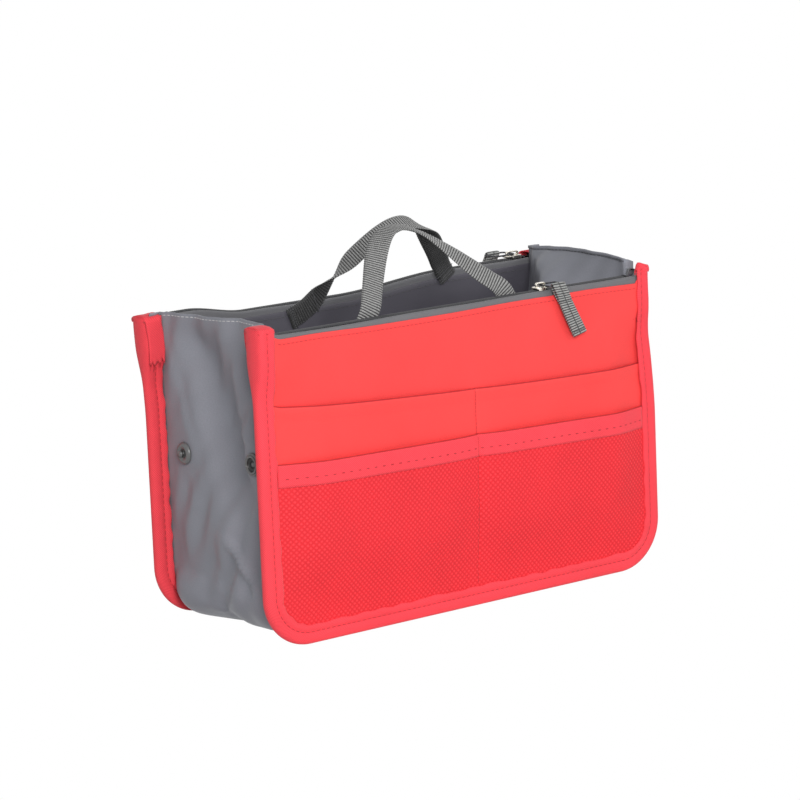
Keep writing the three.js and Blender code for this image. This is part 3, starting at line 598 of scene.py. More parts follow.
def add_binding(panel, thread):
    seed = 31 if panel == "front" else 32
    path = edge_path(BINDING_TOP)
    run = lengths_along(path[:, :2], 0)
    sections = np.stack([binding_section(binding_outer(z), -binding_inner(z)) for z in path[:, 1]])
    depth, out = sections[..., 0], sections[..., 1]
    pucker = ripple(run, 0.0 * run, 9.0, seed)[:, None]
    wander = ripple(run, 0.0 * run, 11.0, seed + 5)[:, None]
    lip = smooth(depth, 6.5, 10.5)
    puff = np.exp(-(((depth - 3.8) / 1.8) ** 2))
    middle = out.mean(axis=1, keepdims=True)
    out = out + np.sign(out - middle) * (0.16 * pucker * puff + 0.1 * pucker * lip)
    depth = depth + 0.45 * wander * lip
    x, z, in_x, in_z = (path[:, k : k + 1] for k in range(4))
    tucked = 7.0 * smooth(z, 146.0, 168.0) * smooth(middle - out, 0.5, 2.0)
    if panel == "front":
        z = z - np.where(x > 0.0, tucked, 0.0)
    points = place(panel, x + in_x * depth, out, z + in_z * depth)
    uv = np.stack([run[:, None] + 0.0 * depth, lengths_along(points, 1)], axis=-1)
    obj = new_object(f"{panel}_edge_binding_tape", points, grid_faces(*points.shape[:2]), RED_TAPE, uv)
    thicken(obj, BINDING_TAPE)
    finish_piece(obj, f"{panel}_panel", [f"{panel}_edge_binding"])
    outward = place(panel, 0.0, 1.0, 0.0) - place(panel, 0.0, 0.0, 0.0)
    groove = int(np.argmin(np.abs(sections[0, :9, 0] - 6.3)))
    last = sections.shape[1] - 1
    thread.row(points[:, groove] + outward * 0.35, outward, 3.4, 2.7, 0.3)
    thread.row(points[:, last - groove] - outward * 0.35, -outward, 3.4, 2.7, 0.3)


def add_binding_end(panel, side, label, thread):
    """End of the tape, folded over the top and down inside, where its cut edge frays."""
    rng = np.random.default_rng({"front": 50, "rear": 60}[panel] + side)
    outer = float(binding_outer(BINDING_TOP)) - 0.05
    inner = -float(binding_inner(BINDING_TOP)) - 0.6
    narrow = panel == "front" and side > 0
    if narrow:
        inner = outer - 2.2
    half = (outer - inner) / 2
    turn = np.linspace(0.0, math.pi, 13)[:-1]
    over = np.stack([(outer + inner) / 2 + half * np.cos(turn), 167.4 + 2.4 * np.sin(turn)], axis=-1)
    drop = np.linspace(166.6, BAG_HEIGHT - BINDING_FLAP, 16)
    hang = inner + 0.0 * drop if narrow else -binding_inner(drop) - 0.6 - 0.8 * smooth(drop, 156.0, 144.0)
    line = np.concatenate([[[outer - 0.5, 166.2]], over, np.stack([hang, drop], axis=-1)])
    across = np.linspace(1.1, BINDING_WIDTH + 0.3, 12)
    inside = np.where(line[:, :1] < (outer + inner) / 2, 1.0, 0.0)
    slant = 0.0 if panel == "rear" else FLAP_SLANT
    slide = slant * inside * smooth(166.0 - line[:, 1:], 0.0, BINDING_FLAP)
    x = side * (HALF_WIDTH - across[None, :] - slide)
    crown = 0.35 * np.cos((across - 5.0) / 6.0 * 1.5)[None, :] - 0.2
    outwards = np.sign(line[:, :1] - (outer + inner) / 2)
    out = line[:, :1] + outwards * crown
    z = line[:, 1:] + 0.0 * x
    lower = smooth(np.arange(len(line)), len(line) - 5, len(line) - 1)[:, None]
    z = z + lower * rng.normal(0.0, 0.9, across.shape)[None, :]
    x = x + 0.25 * ripple(line[:, 1:], 0.0 * x, 14.0, 70 + side)
    on_top = line[:, 1:] > 166.8
    x = np.concatenate([x[:, :1], x], axis=1)
    out = np.concatenate([np.where(on_top, (outer + inner) / 2, out[:, :1]), out + 0.0 * x[:, 1:]], axis=1)
    z = np.concatenate([np.where(on_top, 166.6, z[:, :1]), z], axis=1)
    across = np.concatenate([across[:1], across])
    points = place(panel, x, out, z)
    uv = np.stack([lengths_along(points, 0), across[None, :] + 0.0 * x], axis=-1)
    obj = new_object(f"{panel}_binding_end_{label}_tape", points, grid_faces(*points.shape[:2]), RED_TAPE, uv)
    thicken(obj, BINDING_TAPE)
    finish_piece(obj, f"{panel}_panel", [f"{panel}_binding_end_{label}"])
    for k in range(0, len(across), 1):
        start = points[-1, k]
        tip = np.array([rng.normal(0.0, 0.6), rng.normal(0.0, 0.4), -rng.uniform(1.0, 3.2)])
        thread.stitch(start + tip / 2, tip, outward_of(panel, -1.0), float(np.linalg.norm(tip)) + 0.8, 0.13)


def outward_of(panel, side=1.0):
    return side * (place(panel, 0.0, 1.0, 0.0) - place(panel, 0.0, 0.0, 0.0))


# Zip
def add_zip_tape(panel, side, label):
    bend = np.linspace(0.0, math.pi / 2, 7)
    roof = np.stack([np.linspace(2.2, 3.3, 4), 0.0 * np.linspace(2.2, 3.3, 4) + ROOF_MIDDLE], axis=-1)
    turn = np.stack([3.3 + 0.85 * np.sin(bend), ROOF_MIDDLE - 0.85 * (1.0 - np.cos(bend))], axis=-1)[1:]
    leg = np.stack([4.15 + 0.0 * np.arange(6), np.linspace(164.5, 157.0, 6)], axis=-1)
    line = np.concatenate([roof, turn, leg])
    reach = HALF_WIDTH - SHEET_INSET - 0.3
    x = np.linspace(-reach, reach, 150)[:, None]
    sway = 0.25 * ripple(x, 0.0 * x, 70.0, 41 + int(side))
    points = place(panel, x + 0.0 * line[None, :, 0], side * line[None, :, 0] + 0.0 * x, line[None, :, 1] + sway)
    uv = np.stack([x + 0.0 * line[None, :, 0], lengths_along(points, 1)], axis=-1)
    obj = new_object(f"{panel}_zip_tape_{label}_cloth", points, grid_faces(*points.shape[:2]), ZIP_CLOTH, uv)
    thicken(obj, 0.5)
    finish_piece(obj, f"{panel}_panel", [f"{panel}_zip_tape_{label}"])


def add_coil(panel, side, label):
    """Row of coil teeth that hook towards the other row."""
    pitch = 1.25
    places = np.arange(COIL_LEFT + 0.6, COIL_RIGHT - 0.3, pitch) + (0.0 if side > 0 else pitch / 2)
    across = np.array([0.12, 0.2, 0.7, 1.5, 2.1, 2.35])
    wide = np.array([0.25, 0.5, 0.42, 0.36, 0.36, 0.2])
    tall = np.array([0.3, 0.75, 0.7, 0.62, 0.55, 0.2])
    around = np.arange(8) * 2.0 * math.pi / 8
    ring_x = wide[:, None] * np.cos(around)[None, :]
    ring_z = tall[:, None] * np.sin(around)[None, :]
    x = places[:, None, None] + ring_x[None]
    out = side * across[None, :, None] + 0.0 * x
    points = place(panel, x, out, ROOF_MIDDLE + 0.25 + ring_z[None] + 0.0 * x)
    one = grid_faces(len(across), 8, wrap_columns=True)
    size = len(across) * 8
    faces = [face + k * size for k in range(len(places)) for face in one]
    faces += [np.arange(8) + k * size for k in range(len(places))]
    faces += [np.arange(8) + k * size + size - 8 for k in range(len(places))]
    obj = face_outwards(new_object(f"{panel}_zip_coil_{label}_teeth", points, faces, COIL))
    finish_piece(obj, f"{panel}_panel", [f"{panel}_zip_coil_{label}"])


def soft_blocks(name, blocks, material, radius, segments=3):
    """Closed blocks, each an outline in two axes and a span in the third, with rounded edges."""
    shape = bmesh.new()
    for outline, low, high in blocks:
        rings = [[shape.verts.new(Vector(p) * MM) for p in outline(level)] for level in (low, high)]
        count = len(rings[0])
        shape.faces.new(rings[0])
        shape.faces.new(rings[1])
        for k in range(count):
            l = (k + 1) % count
            shape.faces.new([rings[0][k], rings[0][l], rings[1][l], rings[1][k]])
    bmesh.ops.recalc_face_normals(shape, faces=shape.faces)
    bmesh.ops.bevel(
        shape, geom=list(shape.edges), offset=radius * MM, segments=segments, affect="EDGES", profile=0.5
    )
    mesh = bpy.data.meshes.new(name)
    shape.to_mesh(mesh)
    shape.free()
    mesh.shade_smooth()
    mesh.materials.append(material)
    obj = bpy.data.objects.new(name, mesh)
    bpy.context.collection.objects.link(obj)
    return obj


def flat_outline(panel, corners):
    """Outline in the zip's plane, for blocks that rise from one level to another."""
    return lambda level: [place(panel, x, out, level) for x, out in corners]


def upright_outline(panel, corners):
    """Outline seen from the front, for blocks that reach from one outward place to another."""
    return lambda out: [place(panel, x, out, z) for x, z in corners]


def add_stops(panel):
    spans = {"left": (COIL_LEFT - 2.3, COIL_LEFT - 0.3), "right": (COIL_RIGHT + 0.3, COIL_RIGHT + 2.3)}
    for label, (start, end) in spans.items():
        corners = [(start, -2.1), (end, -2.1), (end, 2.1), (start, 2.1)]
        block = (flat_outline(panel, corners), ROOF_MIDDLE - 1.15, ROOF_MIDDLE + 1.15)
        obj = soft_blocks(f"{panel}_zip_stop_{label}_clip", [block], WIRE, 0.4)
        finish_piece(obj, f"{panel}_panel", [f"{panel}_zip_stop_{label}"])


def add_slider(panel):
    middle = PANELS[panel]["slider"]
    shield = [(-4, -2.4), (-2.6, -3.3), (1.2, -3.3), (4, -2.2), (4, 2.2), (1.2, 3.3), (-2.6, 3.3), (-4, 2.4)]
    plate = flat_outline(panel, [(middle + x, out) for x, out in shield])
    post = flat_outline(panel, [(middle + x, out) for x, out in ((2, -0.4), (4, -0.4), (4, 0.4), (2, 0.4))])
    blocks = [
        (plate, ROOF_MIDDLE + 1.45, ROOF_MIDDLE + 2.45),
        (plate, ROOF_MIDDLE - 2.45, ROOF_MIDDLE - 1.45),
        (post, ROOF_MIDDLE - 1.6, ROOF_MIDDLE + 1.6),
    ]
    for side in (-1.0, 1.0):
        lip = [(-3.4, 2.7), (1.4, 2.7), (1.4, 3.3), (-3.4, 3.3)]
        corners = [(middle + x, side * out) for x, out in lip]
        blocks.append((flat_outline(panel, corners), ROOF_MIDDLE + 0.6, ROOF_MIDDLE + 1.8))
        blocks.append((flat_outline(panel, corners), ROOF_MIDDLE - 1.8, ROOF_MIDDLE - 0.6))
    low = ROOF_MIDDLE + 2.1
    top = ROOF_MIDDLE + 4.05
    arch = [(-3.2, low), (-2.4, low), (-2.4, top), (2.4, top), (2.4, low), (3.2, low), (3.2, top)]
    arch += [(2.4, top + 0.8), (-2.4, top + 0.8), (-3.2, top)]
    blocks.append((upright_outline(panel, [(middle + x, z) for x, z in arch]), -0.8, 0.8))
    obj = soft_blocks(f"{panel}_zip_slider_body", blocks, BRIGHT, 0.22)
    finish_piece(obj, f"{panel}_slider", [f"{panel}_zip_slider"])


def add_bail(panel):
    middle = PANELS[panel]["slider"]
    corner = 1.6
    line = []
    ends = [(BAIL_REACH, BAIL_FRONT, 0.0), (0.0, BAIL_FRONT, 0.5), (0.0, BAIL_BACK, 1.0), (BAIL_REACH, BAIL_BACK, 1.5)]
    for x, out, start in ends:
        centre_x = x - corner if x > 0 else corner
        centre_out = out - corner if out > 0 else out + corner
        for angle in np.linspace(start * math.pi, (start + 0.5) * math.pi, 8):
            line.append((centre_x + corner * math.cos(angle), centre_out + corner * math.sin(angle), angle))
    line = np.array(line)
    around = np.arange(12) * 2.0 * math.pi / 12
    radial = BAIL_WIRE / 2 * np.cos(around)[None, :]
    x = middle + line[:, :1] + radial * np.cos(line[:, 2:])
    out = line[:, 1:2] + radial * np.sin(line[:, 2:])
    z = BAIL_LEVEL + BAIL_WIRE / 2 * np.sin(around)[None, :] + 0.0 * x
    points = place(panel, x, out, z)
    faces = grid_faces(*points.shape[:2], wrap_rows=True, wrap_columns=True)
    obj = face_outwards(new_object(f"{panel}_zip_bail_wire", points, faces, WIRE))
    finish_piece(obj, f"{panel}_pull", [f"{panel}_zip_bail"])


# Webbing
DROOP_REACH = 16.0
SPLAY_TOP = 8.0


def strap_mesh(name, middle, width, depth, wide, thick, rib, face):
    """Closed ribbed strap along a line, with unit directions across it and through it."""
    run = lengths_along(middle, 0)
    ridge = 1.0 - np.abs(np.cos(math.pi * (run / RIB_PITCH + 0.25))) ** 5
    w = np.linspace(-1.0, 1.0, 9)
    half = thick / 2 - rib + rib * ridge
    edge = np.sqrt(np.maximum(1.0 - np.abs(w) ** 7, 0.06))
    ring_w = np.concatenate([w, w[::-1]]) * wide / 2
    ring_d = np.concatenate([edge, -edge[::-1]])
    scale_w = 1.0 + 0.012 * np.cos(2.0 * math.pi * run / RIB_PITCH)
    points = (
        middle[:, None, :]
        + width[:, None, :] * (ring_w[None, :] * scale_w[:, None])[..., None]
        + depth[:, None, :] * (ring_d[None, :] * half[:, None])[..., None]
    )
    uv = np.stack([run[:, None] + 0.0 * ring_w[None, :], ring_w[None, :] + 0.0 * run[:, None]], axis=-1)
    rows, columns = points.shape[:2]
    faces = grid_faces(rows, columns, wrap_columns=True).tolist()
    faces.append(list(range(columns)))
    faces.append(list(range((rows - 1) * columns, rows * columns)))
    obj = face_outwards(new_object(name, points, faces, face, uv))
    return obj, points


def arch_line(panel):
    """Line of the strap in its own plane from foot to foot: along, up, and share of the arch."""
    shape = PANELS[panel]
    span, rise, offset = shape["span"], shape["rise"], shape["offset"]
    slant = span / (math.pi * rise)
    share = np.linspace(0.0, 1.0, 900)
    from_end = (1.0 - share) * span / DROOP_REACH
    along = offset + span * (share - 0.5) + shape["skew"] * np.sin(math.pi * share) ** 2
    up = rise * np.sin(math.pi * share) - shape["droop"] * (from_end * np.exp(1.0 - from_end)) ** 2
    feet = []
    for side, length in zip((-1.0, 1.0), shape["feet"]):
        drop = np.linspace(length, 0.0, 90)[:-1]
        feet.append(np.stack([offset + side * (span / 2 + slant * drop), -drop, 0.0 * drop + (side > 0)], axis=-1))
    line = np.concatenate([feet[0], np.stack([along, up, share], axis=-1), feet[1][::-1]])
    below = np.clip((SPLAY_TOP - line[:, 1]) / (SPLAY_TOP + FOOT_LENGTH), 0.0, 1.0)
    line[:, 0] += shape["splay"] * below**3 * (line[:, 2] > 0.5)
    run = lengths_along(line[:, :2], 0)
    even = np.arange(0.0, run[-1], RIB_PITCH / 6)
    return np.stack([np.interp(even, run, line[:, k]) for k in range(3)], axis=-1)


def add_handle(panel, thread):
    lean = math.radians(PANELS[panel]["lean"])
    line = arch_line(panel)
    levels = np.linspace(-FOOT_LENGTH - 1.0, PANELS[panel]["rise"] + 1.0, 700)
    angle = lean * smooth(levels, -3.0, 7.0)
    step = levels[1] - levels[0]
    zero = int(np.argmin(np.abs(levels)))
    out_at = -np.cumsum(np.sin(angle)) * step
    up_at = np.cumsum(np.cos(angle)) * step
    out = FOOT_OUT + np.interp(line[:, 1], levels, out_at - out_at[zero])
    z = HINGE_LEVEL + np.interp(line[:, 1], levels, up_at - up_at[zero])
    turn_of = np.interp(line[:, 1], levels, angle)
    local = np.stack([line[:, 0], out, z], axis=-1)
    across = np.array([1.0, 0.0, 0.0])
    up = np.stack([0.0 * out, -np.sin(turn_of), np.cos(turn_of)], axis=-1)
    outward = np.stack([0.0 * out, np.cos(turn_of), np.sin(turn_of)], axis=-1)
    flat_step = np.gradient(line[:, :2], axis=0)
    flat_step = flat_step / np.linalg.norm(flat_step, axis=1, keepdims=True)
    inward = flat_step[:, 1:] * across - flat_step[:, :1] * up
    share = line[:, 2]
    first, last = PANELS[panel]["twists"]
    turned = np.where(share < 0.5, smooth(share, *first), smooth(1.0 - share, *last))
    twist = (math.radians(PANELS[panel]["turn"]) * turned)[:, None]
    tangent = flat_step[:, :1] * across + flat_step[:, 1:] * up
    width = inward * np.cos(twist) + outward * np.sin(twist)
    depth = np.cross(tangent, width)
    flip = np.array([1.0, -1.0, 1.0]) if panel == "front" else np.array([-1.0, 1.0, 1.0])
    middle = place(panel, *local.T)
    obj, points = strap_mesh(
        f"{panel}_handle_strap", middle, width * flip, depth * flip, STRAP_WIDTH, STRAP_THICKNESS, 0.28, WEBBING
    )
    shade_backs(obj, points)
    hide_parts(f"{panel}_handle", f"{panel}_handle_foot_left", f"{panel}_handle_foot_right")
    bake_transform(obj)
    inside = outward_of(panel, -1.0)
    for ends in (np.nonzero(line[:, 2] == 0.0)[0], np.nonzero(line[:, 2] == 1.0)[0]):
        low = ends[np.argmin(line[ends, 1])]
        centre = middle[low]
        direction = middle[ends[np.argmax(line[ends, 1])]] - centre
        foot = float(np.linalg.norm(direction))
        direction = direction / foot
        for along in (1.6, 3.0, foot - 1.5):
            row = centre + direction * along + inside * 0.85
            reach = width[low] * flip * 6.4
            thread.row(np.stack([row - reach, row + reach]), inside, 1.5, 1.6, 0.26)


def shade_backs(obj, points):
    """The strap's back face, the second half of each ring, takes a near black copy of the webbing: painted shade."""
    obj.data.materials.append(WEBBING_BACK_SHADE)
    columns = points.shape[1]
    index = np.zeros(len(obj.data.polygons), int)
    for k, face in enumerate(obj.data.polygons):
        ring = [v % columns for v in face.vertices]
        index[k] = 1 if min(ring) >= columns // 2 else 0
    obj.data.polygons.foreach_set("material_index", index)


def add_tab(panel, thread):
    middle = PANELS[panel]["slider"] + BAIL_REACH / 2
    loop = BAIL_WIRE / 2 + 0.3 + TAB_WEBBING / 2
    layer = TAB_WEBBING / 2 + 0.05
    turn = np.linspace(0.0, math.pi, 20)
    corners = [(-layer, -TAB_LENGTH), (-layer, -TAB_LOOP - 2.5), (-loop, -TAB_LOOP + 2.0)]
    corners += [(-loop * math.cos(a), loop * math.sin(a)) for a in turn]
    corners += [(loop, -TAB_LOOP + 2.0), (layer, -TAB_LOOP - 2.5), (layer, -TAB_LENGTH)]
    corners = np.array(corners)
    run = lengths_along(corners, 0)
    even = np.arange(0.0, run[-1], RIB_PITCH / 6)
    line = np.stack([np.interp(even, run, corners[:, k]) for k in range(2)], axis=-1)
    slope = np.gradient(line, axis=0)
    slope = slope / np.linalg.norm(slope, axis=1, keepdims=True)
    hang = np.maximum(-line[:, 1], 0.0)
    slant = math.tan(math.radians(TAB_SLANT_DEG))
    tilt = math.tan(math.radians(13.0)) * smooth(hang, 0.0, TAB_LENGTH)
    x = middle + slant * hang
    line3 = place(panel, x, BAIL_FRONT + line[:, 0], BAIL_LEVEL + line[:, 1])
    width = np.stack([np.ones_like(tilt), 0.0 * tilt, tilt], axis=-1)
    depth = np.stack([0.0 * tilt, -slope[:, 1], slope[:, 0]], axis=-1)
    flip = np.array([1.0, -1.0, 1.0]) if panel == "front" else np.array([-1.0, 1.0, 1.0])
    name = f"{panel}_pull_tab_strap"
    obj, _ = strap_mesh(name, line3, width * flip, -depth * flip, TAB_WIDTH, TAB_WEBBING, 0.15, PULL_WEBBING)
    finish_piece(obj, f"{panel}_pull", [f"{panel}_pull_tab"])
    front = outward_of(panel)
    for drop in (9.0, 26.5):
        centre = place(panel, middle + slant * drop, BAIL_FRONT + 1.05, BAIL_LEVEL - drop)
        reach = flip * np.array([4.2, 0.0, 4.2 * math.tan(math.radians(13.0)) * drop / TAB_LENGTH])
        thread.row(np.stack([centre - reach, centre + reach]), front, 1.7, 1.5, 0.2)


# Strip that makes the sides and the base
STRIP_SLACK = 0.02
STRIP_FRAMES = 45
STRIP_COLUMNS = 45
HEM_ROWS = 2
# Fold of the right side: heights, then how deep its crease lies and where between the seams
FOLD_LEVELS = [60.0, 100.0, 130.0, 150.0, 154.0, 160.0, 165.0, 168.0]
FOLD_DEPTHS = [0.0, 8.0, 18.0, 24.0, 21.0, 14.0, 5.0, 1.0]
FOLD_PLACES = [0.0, 0.0, 0.0, 0.06, 0.19, 0.43, 0.65, 0.72]
FOLD_SHARPNESS = 9.0
# Folds of the left side: places between the seams and how deep each lies, and how they slant with height
WAVE_PLACES = [-1.0, -0.55, -0.2, 0.45, 0.88, 1.0]
WAVE_DEPTHS = [0.0, 9.0, 4.5, 12.5, 2.0, 0.0]
WAVE_SLANT = 0.008
WAVE_LEVEL = 158.0
# Creases of the left side: start and end as depth and height, then rise and half width
CREASES = [
    ((-9.0, 53.0), (-37.0, 25.0), 3.4, 2.8),
    ((-10.0, 124.0), (-27.0, 104.0), 2.4, 3.6),
    ((30.0, 88.0), (22.0, 62.0), 0.9, 5.0),
    ((-38.0, 90.0), (-46.0, 72.0), 1.2, 3.0),
    ((14.0, 140.0), (27.0, 108.0), 1.0, 5.0),
]


def ridge(y, z, crease):
    (y0, z0), (y1, z1), rise, half = crease
    run = math.hypot(y1 - y0, z1 - z0)
    along = ((y - y0) * (y1 - y0) + (z - z0) * (z1 - z0)) / run**2
    across = ((y - y0) * (z1 - z0) - (z - z0) * (y1 - y0)) / run
    ends = smooth(along, -0.1, 0.25) * (1.0 - smooth(along, 0.75, 1.1))
    return rise * ends * np.exp(-((across / half) ** 2))


def eased(value, places, levels):
    """Levels joined by soft steps, flat at each place."""
    total = 0.0 * value + levels[0]
    for k in range(len(places) - 1):
        total = total + (levels[k + 1] - levels[k]) * smooth(value, places[k], places[k + 1])
    return total


def left_fold(t, z):
    """How far the left side stands inwards: folds that run down and forwards between its seams."""
    strength = smooth(z, 60.0, 112.0) - 0.75 * smooth(z, 146.0, 167.0)
    slanted = np.clip(t + WAVE_SLANT * (WAVE_LEVEL - z), -1.0, 1.0)
    return strength * eased(slanted, WAVE_PLACES, WAVE_DEPTHS) * (1.0 - t**6)


def right_fold(t, z):
    """How far the right side stands inwards: two flanks that meet at a crease."""
    crease = np.interp(z, FOLD_LEVELS, FOLD_PLACES)
    front = FOLD_SHARPNESS * (1.0 + t) / (1.0 + crease)
    rear = FOLD_SHARPNESS * (1.0 - t) / (1.0 - crease)
    tent = -np.log(np.exp(-front) + np.exp(-rear)) / FOLD_SHARPNESS
    return np.interp(z, FOLD_LEVELS, FOLD_DEPTHS) * np.maximum(tent, 0.0)


def side_fold(x, t, y, z):
    """How far a side stands inwards of its seams: folded in above, bulging out below."""
    creased = sum(ridge(y, z, crease) for crease in CREASES)
    bulge = 4.0 * (1.0 - smooth(z, 45.0, 90.0)) * (1.0 - t**2)
    waves = 1.5 * ripple(1.9 * y + 0.5 * z, 0.8 * z, 36.0, 23) * (1.0 - t**4)
    return np.where(x < 0.0, left_fold(t, z) - creased, right_fold(t, z)) - bulge + waves


def stud_level(y):
    """Height of the studs: the cloth has sunk a little at the rear ones."""
    return STUD_HEIGHT - np.where(np.asarray(y) > 0.0, 3.0, 0.0)


def stud_hold(x, y, z):
    """One where a stud grips the cloth, falling to none a little way off."""
    away = np.hypot(np.abs(y) - STUD_FROM_MIDDLE, z - stud_level(y))
    away = np.where(np.abs(x) > SIDE_FACE - 40.0, away, 1e3)
    return 1.0 - smooth(away, STUD_RADIUS, STUD_RADIUS + 12.0)


def strip_start():
    """The strip before it is let go: its path, its grid of points, and the share of slack at each place."""
    path = edge_path(STRIP_TOP, 2.4)
    t = np.linspace(-1.0, 1.0, STRIP_COLUMNS)[None, :]
    seam = PANEL_SPACING / 2 - 1.25 - SWELL * flare(path[:, 1:2])
    y = seam * t
    x = path[:, 0:1] + path[:, 2:3] * STRIP_INSET + 0.0 * y
    z = path[:, 1:2] + path[:, 3:4] * STRIP_INSET + 0.0 * y
    upright = np.abs(path[:, 2:3])
    sag = -8.5 * (1.0 - t**8)
    corner = -(2.0 + 5.0 * smooth(t, 0.2, 0.8)) * (1.0 - t**12) * 2.0 * upright * path[:, 3:4]
    inward = upright * side_fold(x, t, y, z) + (1.0 - upright) * sag + corner
    inward = inward * (1.0 - stud_hold(x, y, z)) * smooth(1.0 - np.abs(t), 0.0, 0.12)
    to_front = (1.0 - t) / 2
    to_rear = (1.0 + t) / 2
    far = np.abs(t)
    right_hem = 8.75 + np.where(t < 0.0, 1.6 * far - 2.85 * far**2.2, -3.55 * far**1.3)
    left_hem = 0.8 * (1.0 - t**2) + 2.2 * to_rear + 2.4 * smooth(-t, -0.3, 0.9)
    rise = smooth(z, 120.0, STRIP_TOP) * np.where(x > 0.0, right_hem, left_hem)
    rise = rise + to_front * settle("front", x, z) + to_rear * settle("rear", -x, z)
    x = x - taper(x, z) * to_front + (REAR_SHIFT - splayed(-x, z)) * to_rear
    points = np.stack([x + path[:, 2:3] * inward, y, z + path[:, 3:4] * inward + rise], axis=-1)
    slack = 0.25 + 0.75 * upright * smooth(z, 30.0, 80.0) * (1.0 - 0.7 * smooth(z, 145.0, 166.0))
    return path, points, slack * (1.0 - t**2)


def relax_strip(points, slack):
    """Lets the strip's cloth buckle between its seams and studs, and returns its settled points."""
    rows, columns = points.shape[:2]
    obj = new_object("strip_trial", points, grid_faces(rows, columns), SATIN)
    away = np.hypot(np.abs(points[..., 1]) - STUD_FROM_MIDDLE, points[..., 2] - stud_level(points[..., 1]))
    held = (away < STUD_RADIUS + 0.8) & (np.abs(points[..., 0]) > SIDE_FACE - 20.0)
    held[:, [0, -1]] = True
    held[:HEM_ROWS] = True
    held[-HEM_ROWS:] = True
    pins = obj.vertex_groups.new(name="pins")
    pins.add(np.nonzero(held.ravel())[0].tolist(), 1.0, "REPLACE")
    grow = obj.vertex_groups.new(name="grow")
    for index, weight in enumerate(slack.ravel()):
        grow.add([index], float(weight), "REPLACE")
    cloth = obj.modifiers.new("cloth", "CLOTH")
    cloth.settings.quality = 8
    cloth.settings.mass = 0.02
    cloth.settings.tension_stiffness = 20.0
    cloth.settings.compression_stiffness = 20.0
    cloth.settings.shear_stiffness = 12.0
    cloth.settings.bending_stiffness = 0.6
    cloth.settings.air_damping = 3.0
    cloth.settings.effector_weights.gravity = 0.1
    cloth.settings.vertex_group_mass = "pins"
    cloth.settings.vertex_group_shrink = "grow"
    cloth.settings.shrink_min = 0.0
    cloth.settings.shrink_max = -STRIP_SLACK
    cloth.collision_settings.use_collision = False
    cloth.collision_settings.use_self_collision = False
    cloth.point_cache.frame_start = 1
    cloth.point_cache.frame_end = STRIP_FRAMES
    scene = bpy.context.scene
    for number in range(1, STRIP_FRAMES + 1):
        scene.frame_set(number)
    settled = obj.evaluated_get(bpy.context.evaluated_depsgraph_get())
    flat = np.zeros(rows * columns * 3)
    settled.data.vertices.foreach_get("co", flat)
    bpy.data.objects.remove(obj)
    scene.frame_set(1)
    return flat.reshape(rows, columns, 3) / MM


def tucked(edge, inward):
    """Three more columns of the strip beyond a seam, where its edge lies inside the tape."""
    columns = []
    for reach, towards, top in ((0.0, 1.3, 175.6), (3.5, 0.9, 174.3), (7.0, 0.6, 173.1)):
        column = edge - inward * reach
        column[:, 1] += towards * np.sign(edge[:, 1])
        column[:, 2] = np.minimum(column[:, 2], top)
        columns.append(column)
    return np.stack(columns)


def add_strip():
    path, points, slack = strip_start()
    points = relax_strip(points, slack)
    inward = np.stack([path[:, 2], 0.0 * path[:, 2], path[:, 3]], axis=-1)
    sewn = np.concatenate([tucked(points[:, 0], inward)[::-1], [*points.transpose(1, 0, 2)],
                           tucked(points[:, -1], inward)]).transpose(1, 0, 2)
    hem = []
    for end, beside in ((0, 1), (-1, -2)):
        step = inward[end]
        turned = [sewn[end] + step * 0.1 + [0, 0, 0.2], sewn[end] + step * 0.4 + [0, 0, 0.2]]
        turned += [sewn[end] + step * 0.5, (sewn[end] + sewn[beside]) / 2 + step * 0.5]
        hem.append(np.stack(turned))
    grid = np.concatenate([hem[0][::-1], sewn, hem[1]])
    uv = np.stack([lengths_along(grid, 0), grid[..., 1]], axis=-1)
    obj = new_object("side_base_strip_cloth", grid, grid_faces(*grid.shape[:2]), SATIN, uv)
    thicken(obj, 0.5)
    squash_with_narrowing(obj, ["side_base_strip"])
    outside = Thread()
    inside = Thread()
    for end, beside in ((0, 1), (-1, -2)):
        outer = -inward[end]
        row = (points[end] + points[beside]) / 2
        outside.row(row + outer * 0.3, outer, 3.2, 2.5, 0.2)
        inside.row(row - outer * 0.85, -outer, 3.2, 2.5, 0.2)
    squash_with_narrowing(outside.build("side_strip_outer_stitches", PALE_THREAD))
    squash_with_narrowing(inside.build("side_strip_inner_stitches", GREY_THREAD))


def squash_with_narrowing(obj, nodes=()):
    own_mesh(obj)
    finish_piece(obj, "rear_panel", nodes)


# Press studs
# Profiles as radius, height, and one where the band to the next point lies in the recess and is painted near black as
# shade
SOCKET = [
    (0.0, 1.1, 0), (0.9, 1.05, 0), (1.3, 0.8, 0), (1.4, 0.5, 1), (3.5, 0.5, 1), (3.8, 1.7, 0), (4.1, 2.3, 0),
    (4.6, 2.35, 0), (4.9, 2.0, 1), (5.2, 1.6, 0), (5.8, 1.6, 0), (6.2, 1.1, 0), (6.2, 0.4, 0), (6.0, 0.1, 0),
    (0.0, 0.1, 0),
]
KNOB = [
    (0.0, 3.9, 0), (1.0, 3.85, 0), (1.5, 3.5, 0), (1.6, 2.8, 1), (1.6, 1.5, 1), (2.7, 1.4, 0), (3.2, 1.9, 0),
    (4.2, 2.2, 0), (5.0, 2.1, 0), (5.6, 1.6, 0), (6.1, 0.9, 0), (6.2, 0.4, 0), (5.9, 0.1, 0), (0.0, 0.1, 0),
]
CAP = [
    (0.0, 1.5, 0), (2.0, 1.45, 0), (4.0, 1.2, 0), (5.4, 0.8, 0), (6.1, 0.35, 0), (6.2, 0.1, 0), (5.9, 0.0, 0),
    (0.0, 0.0, 0),
]


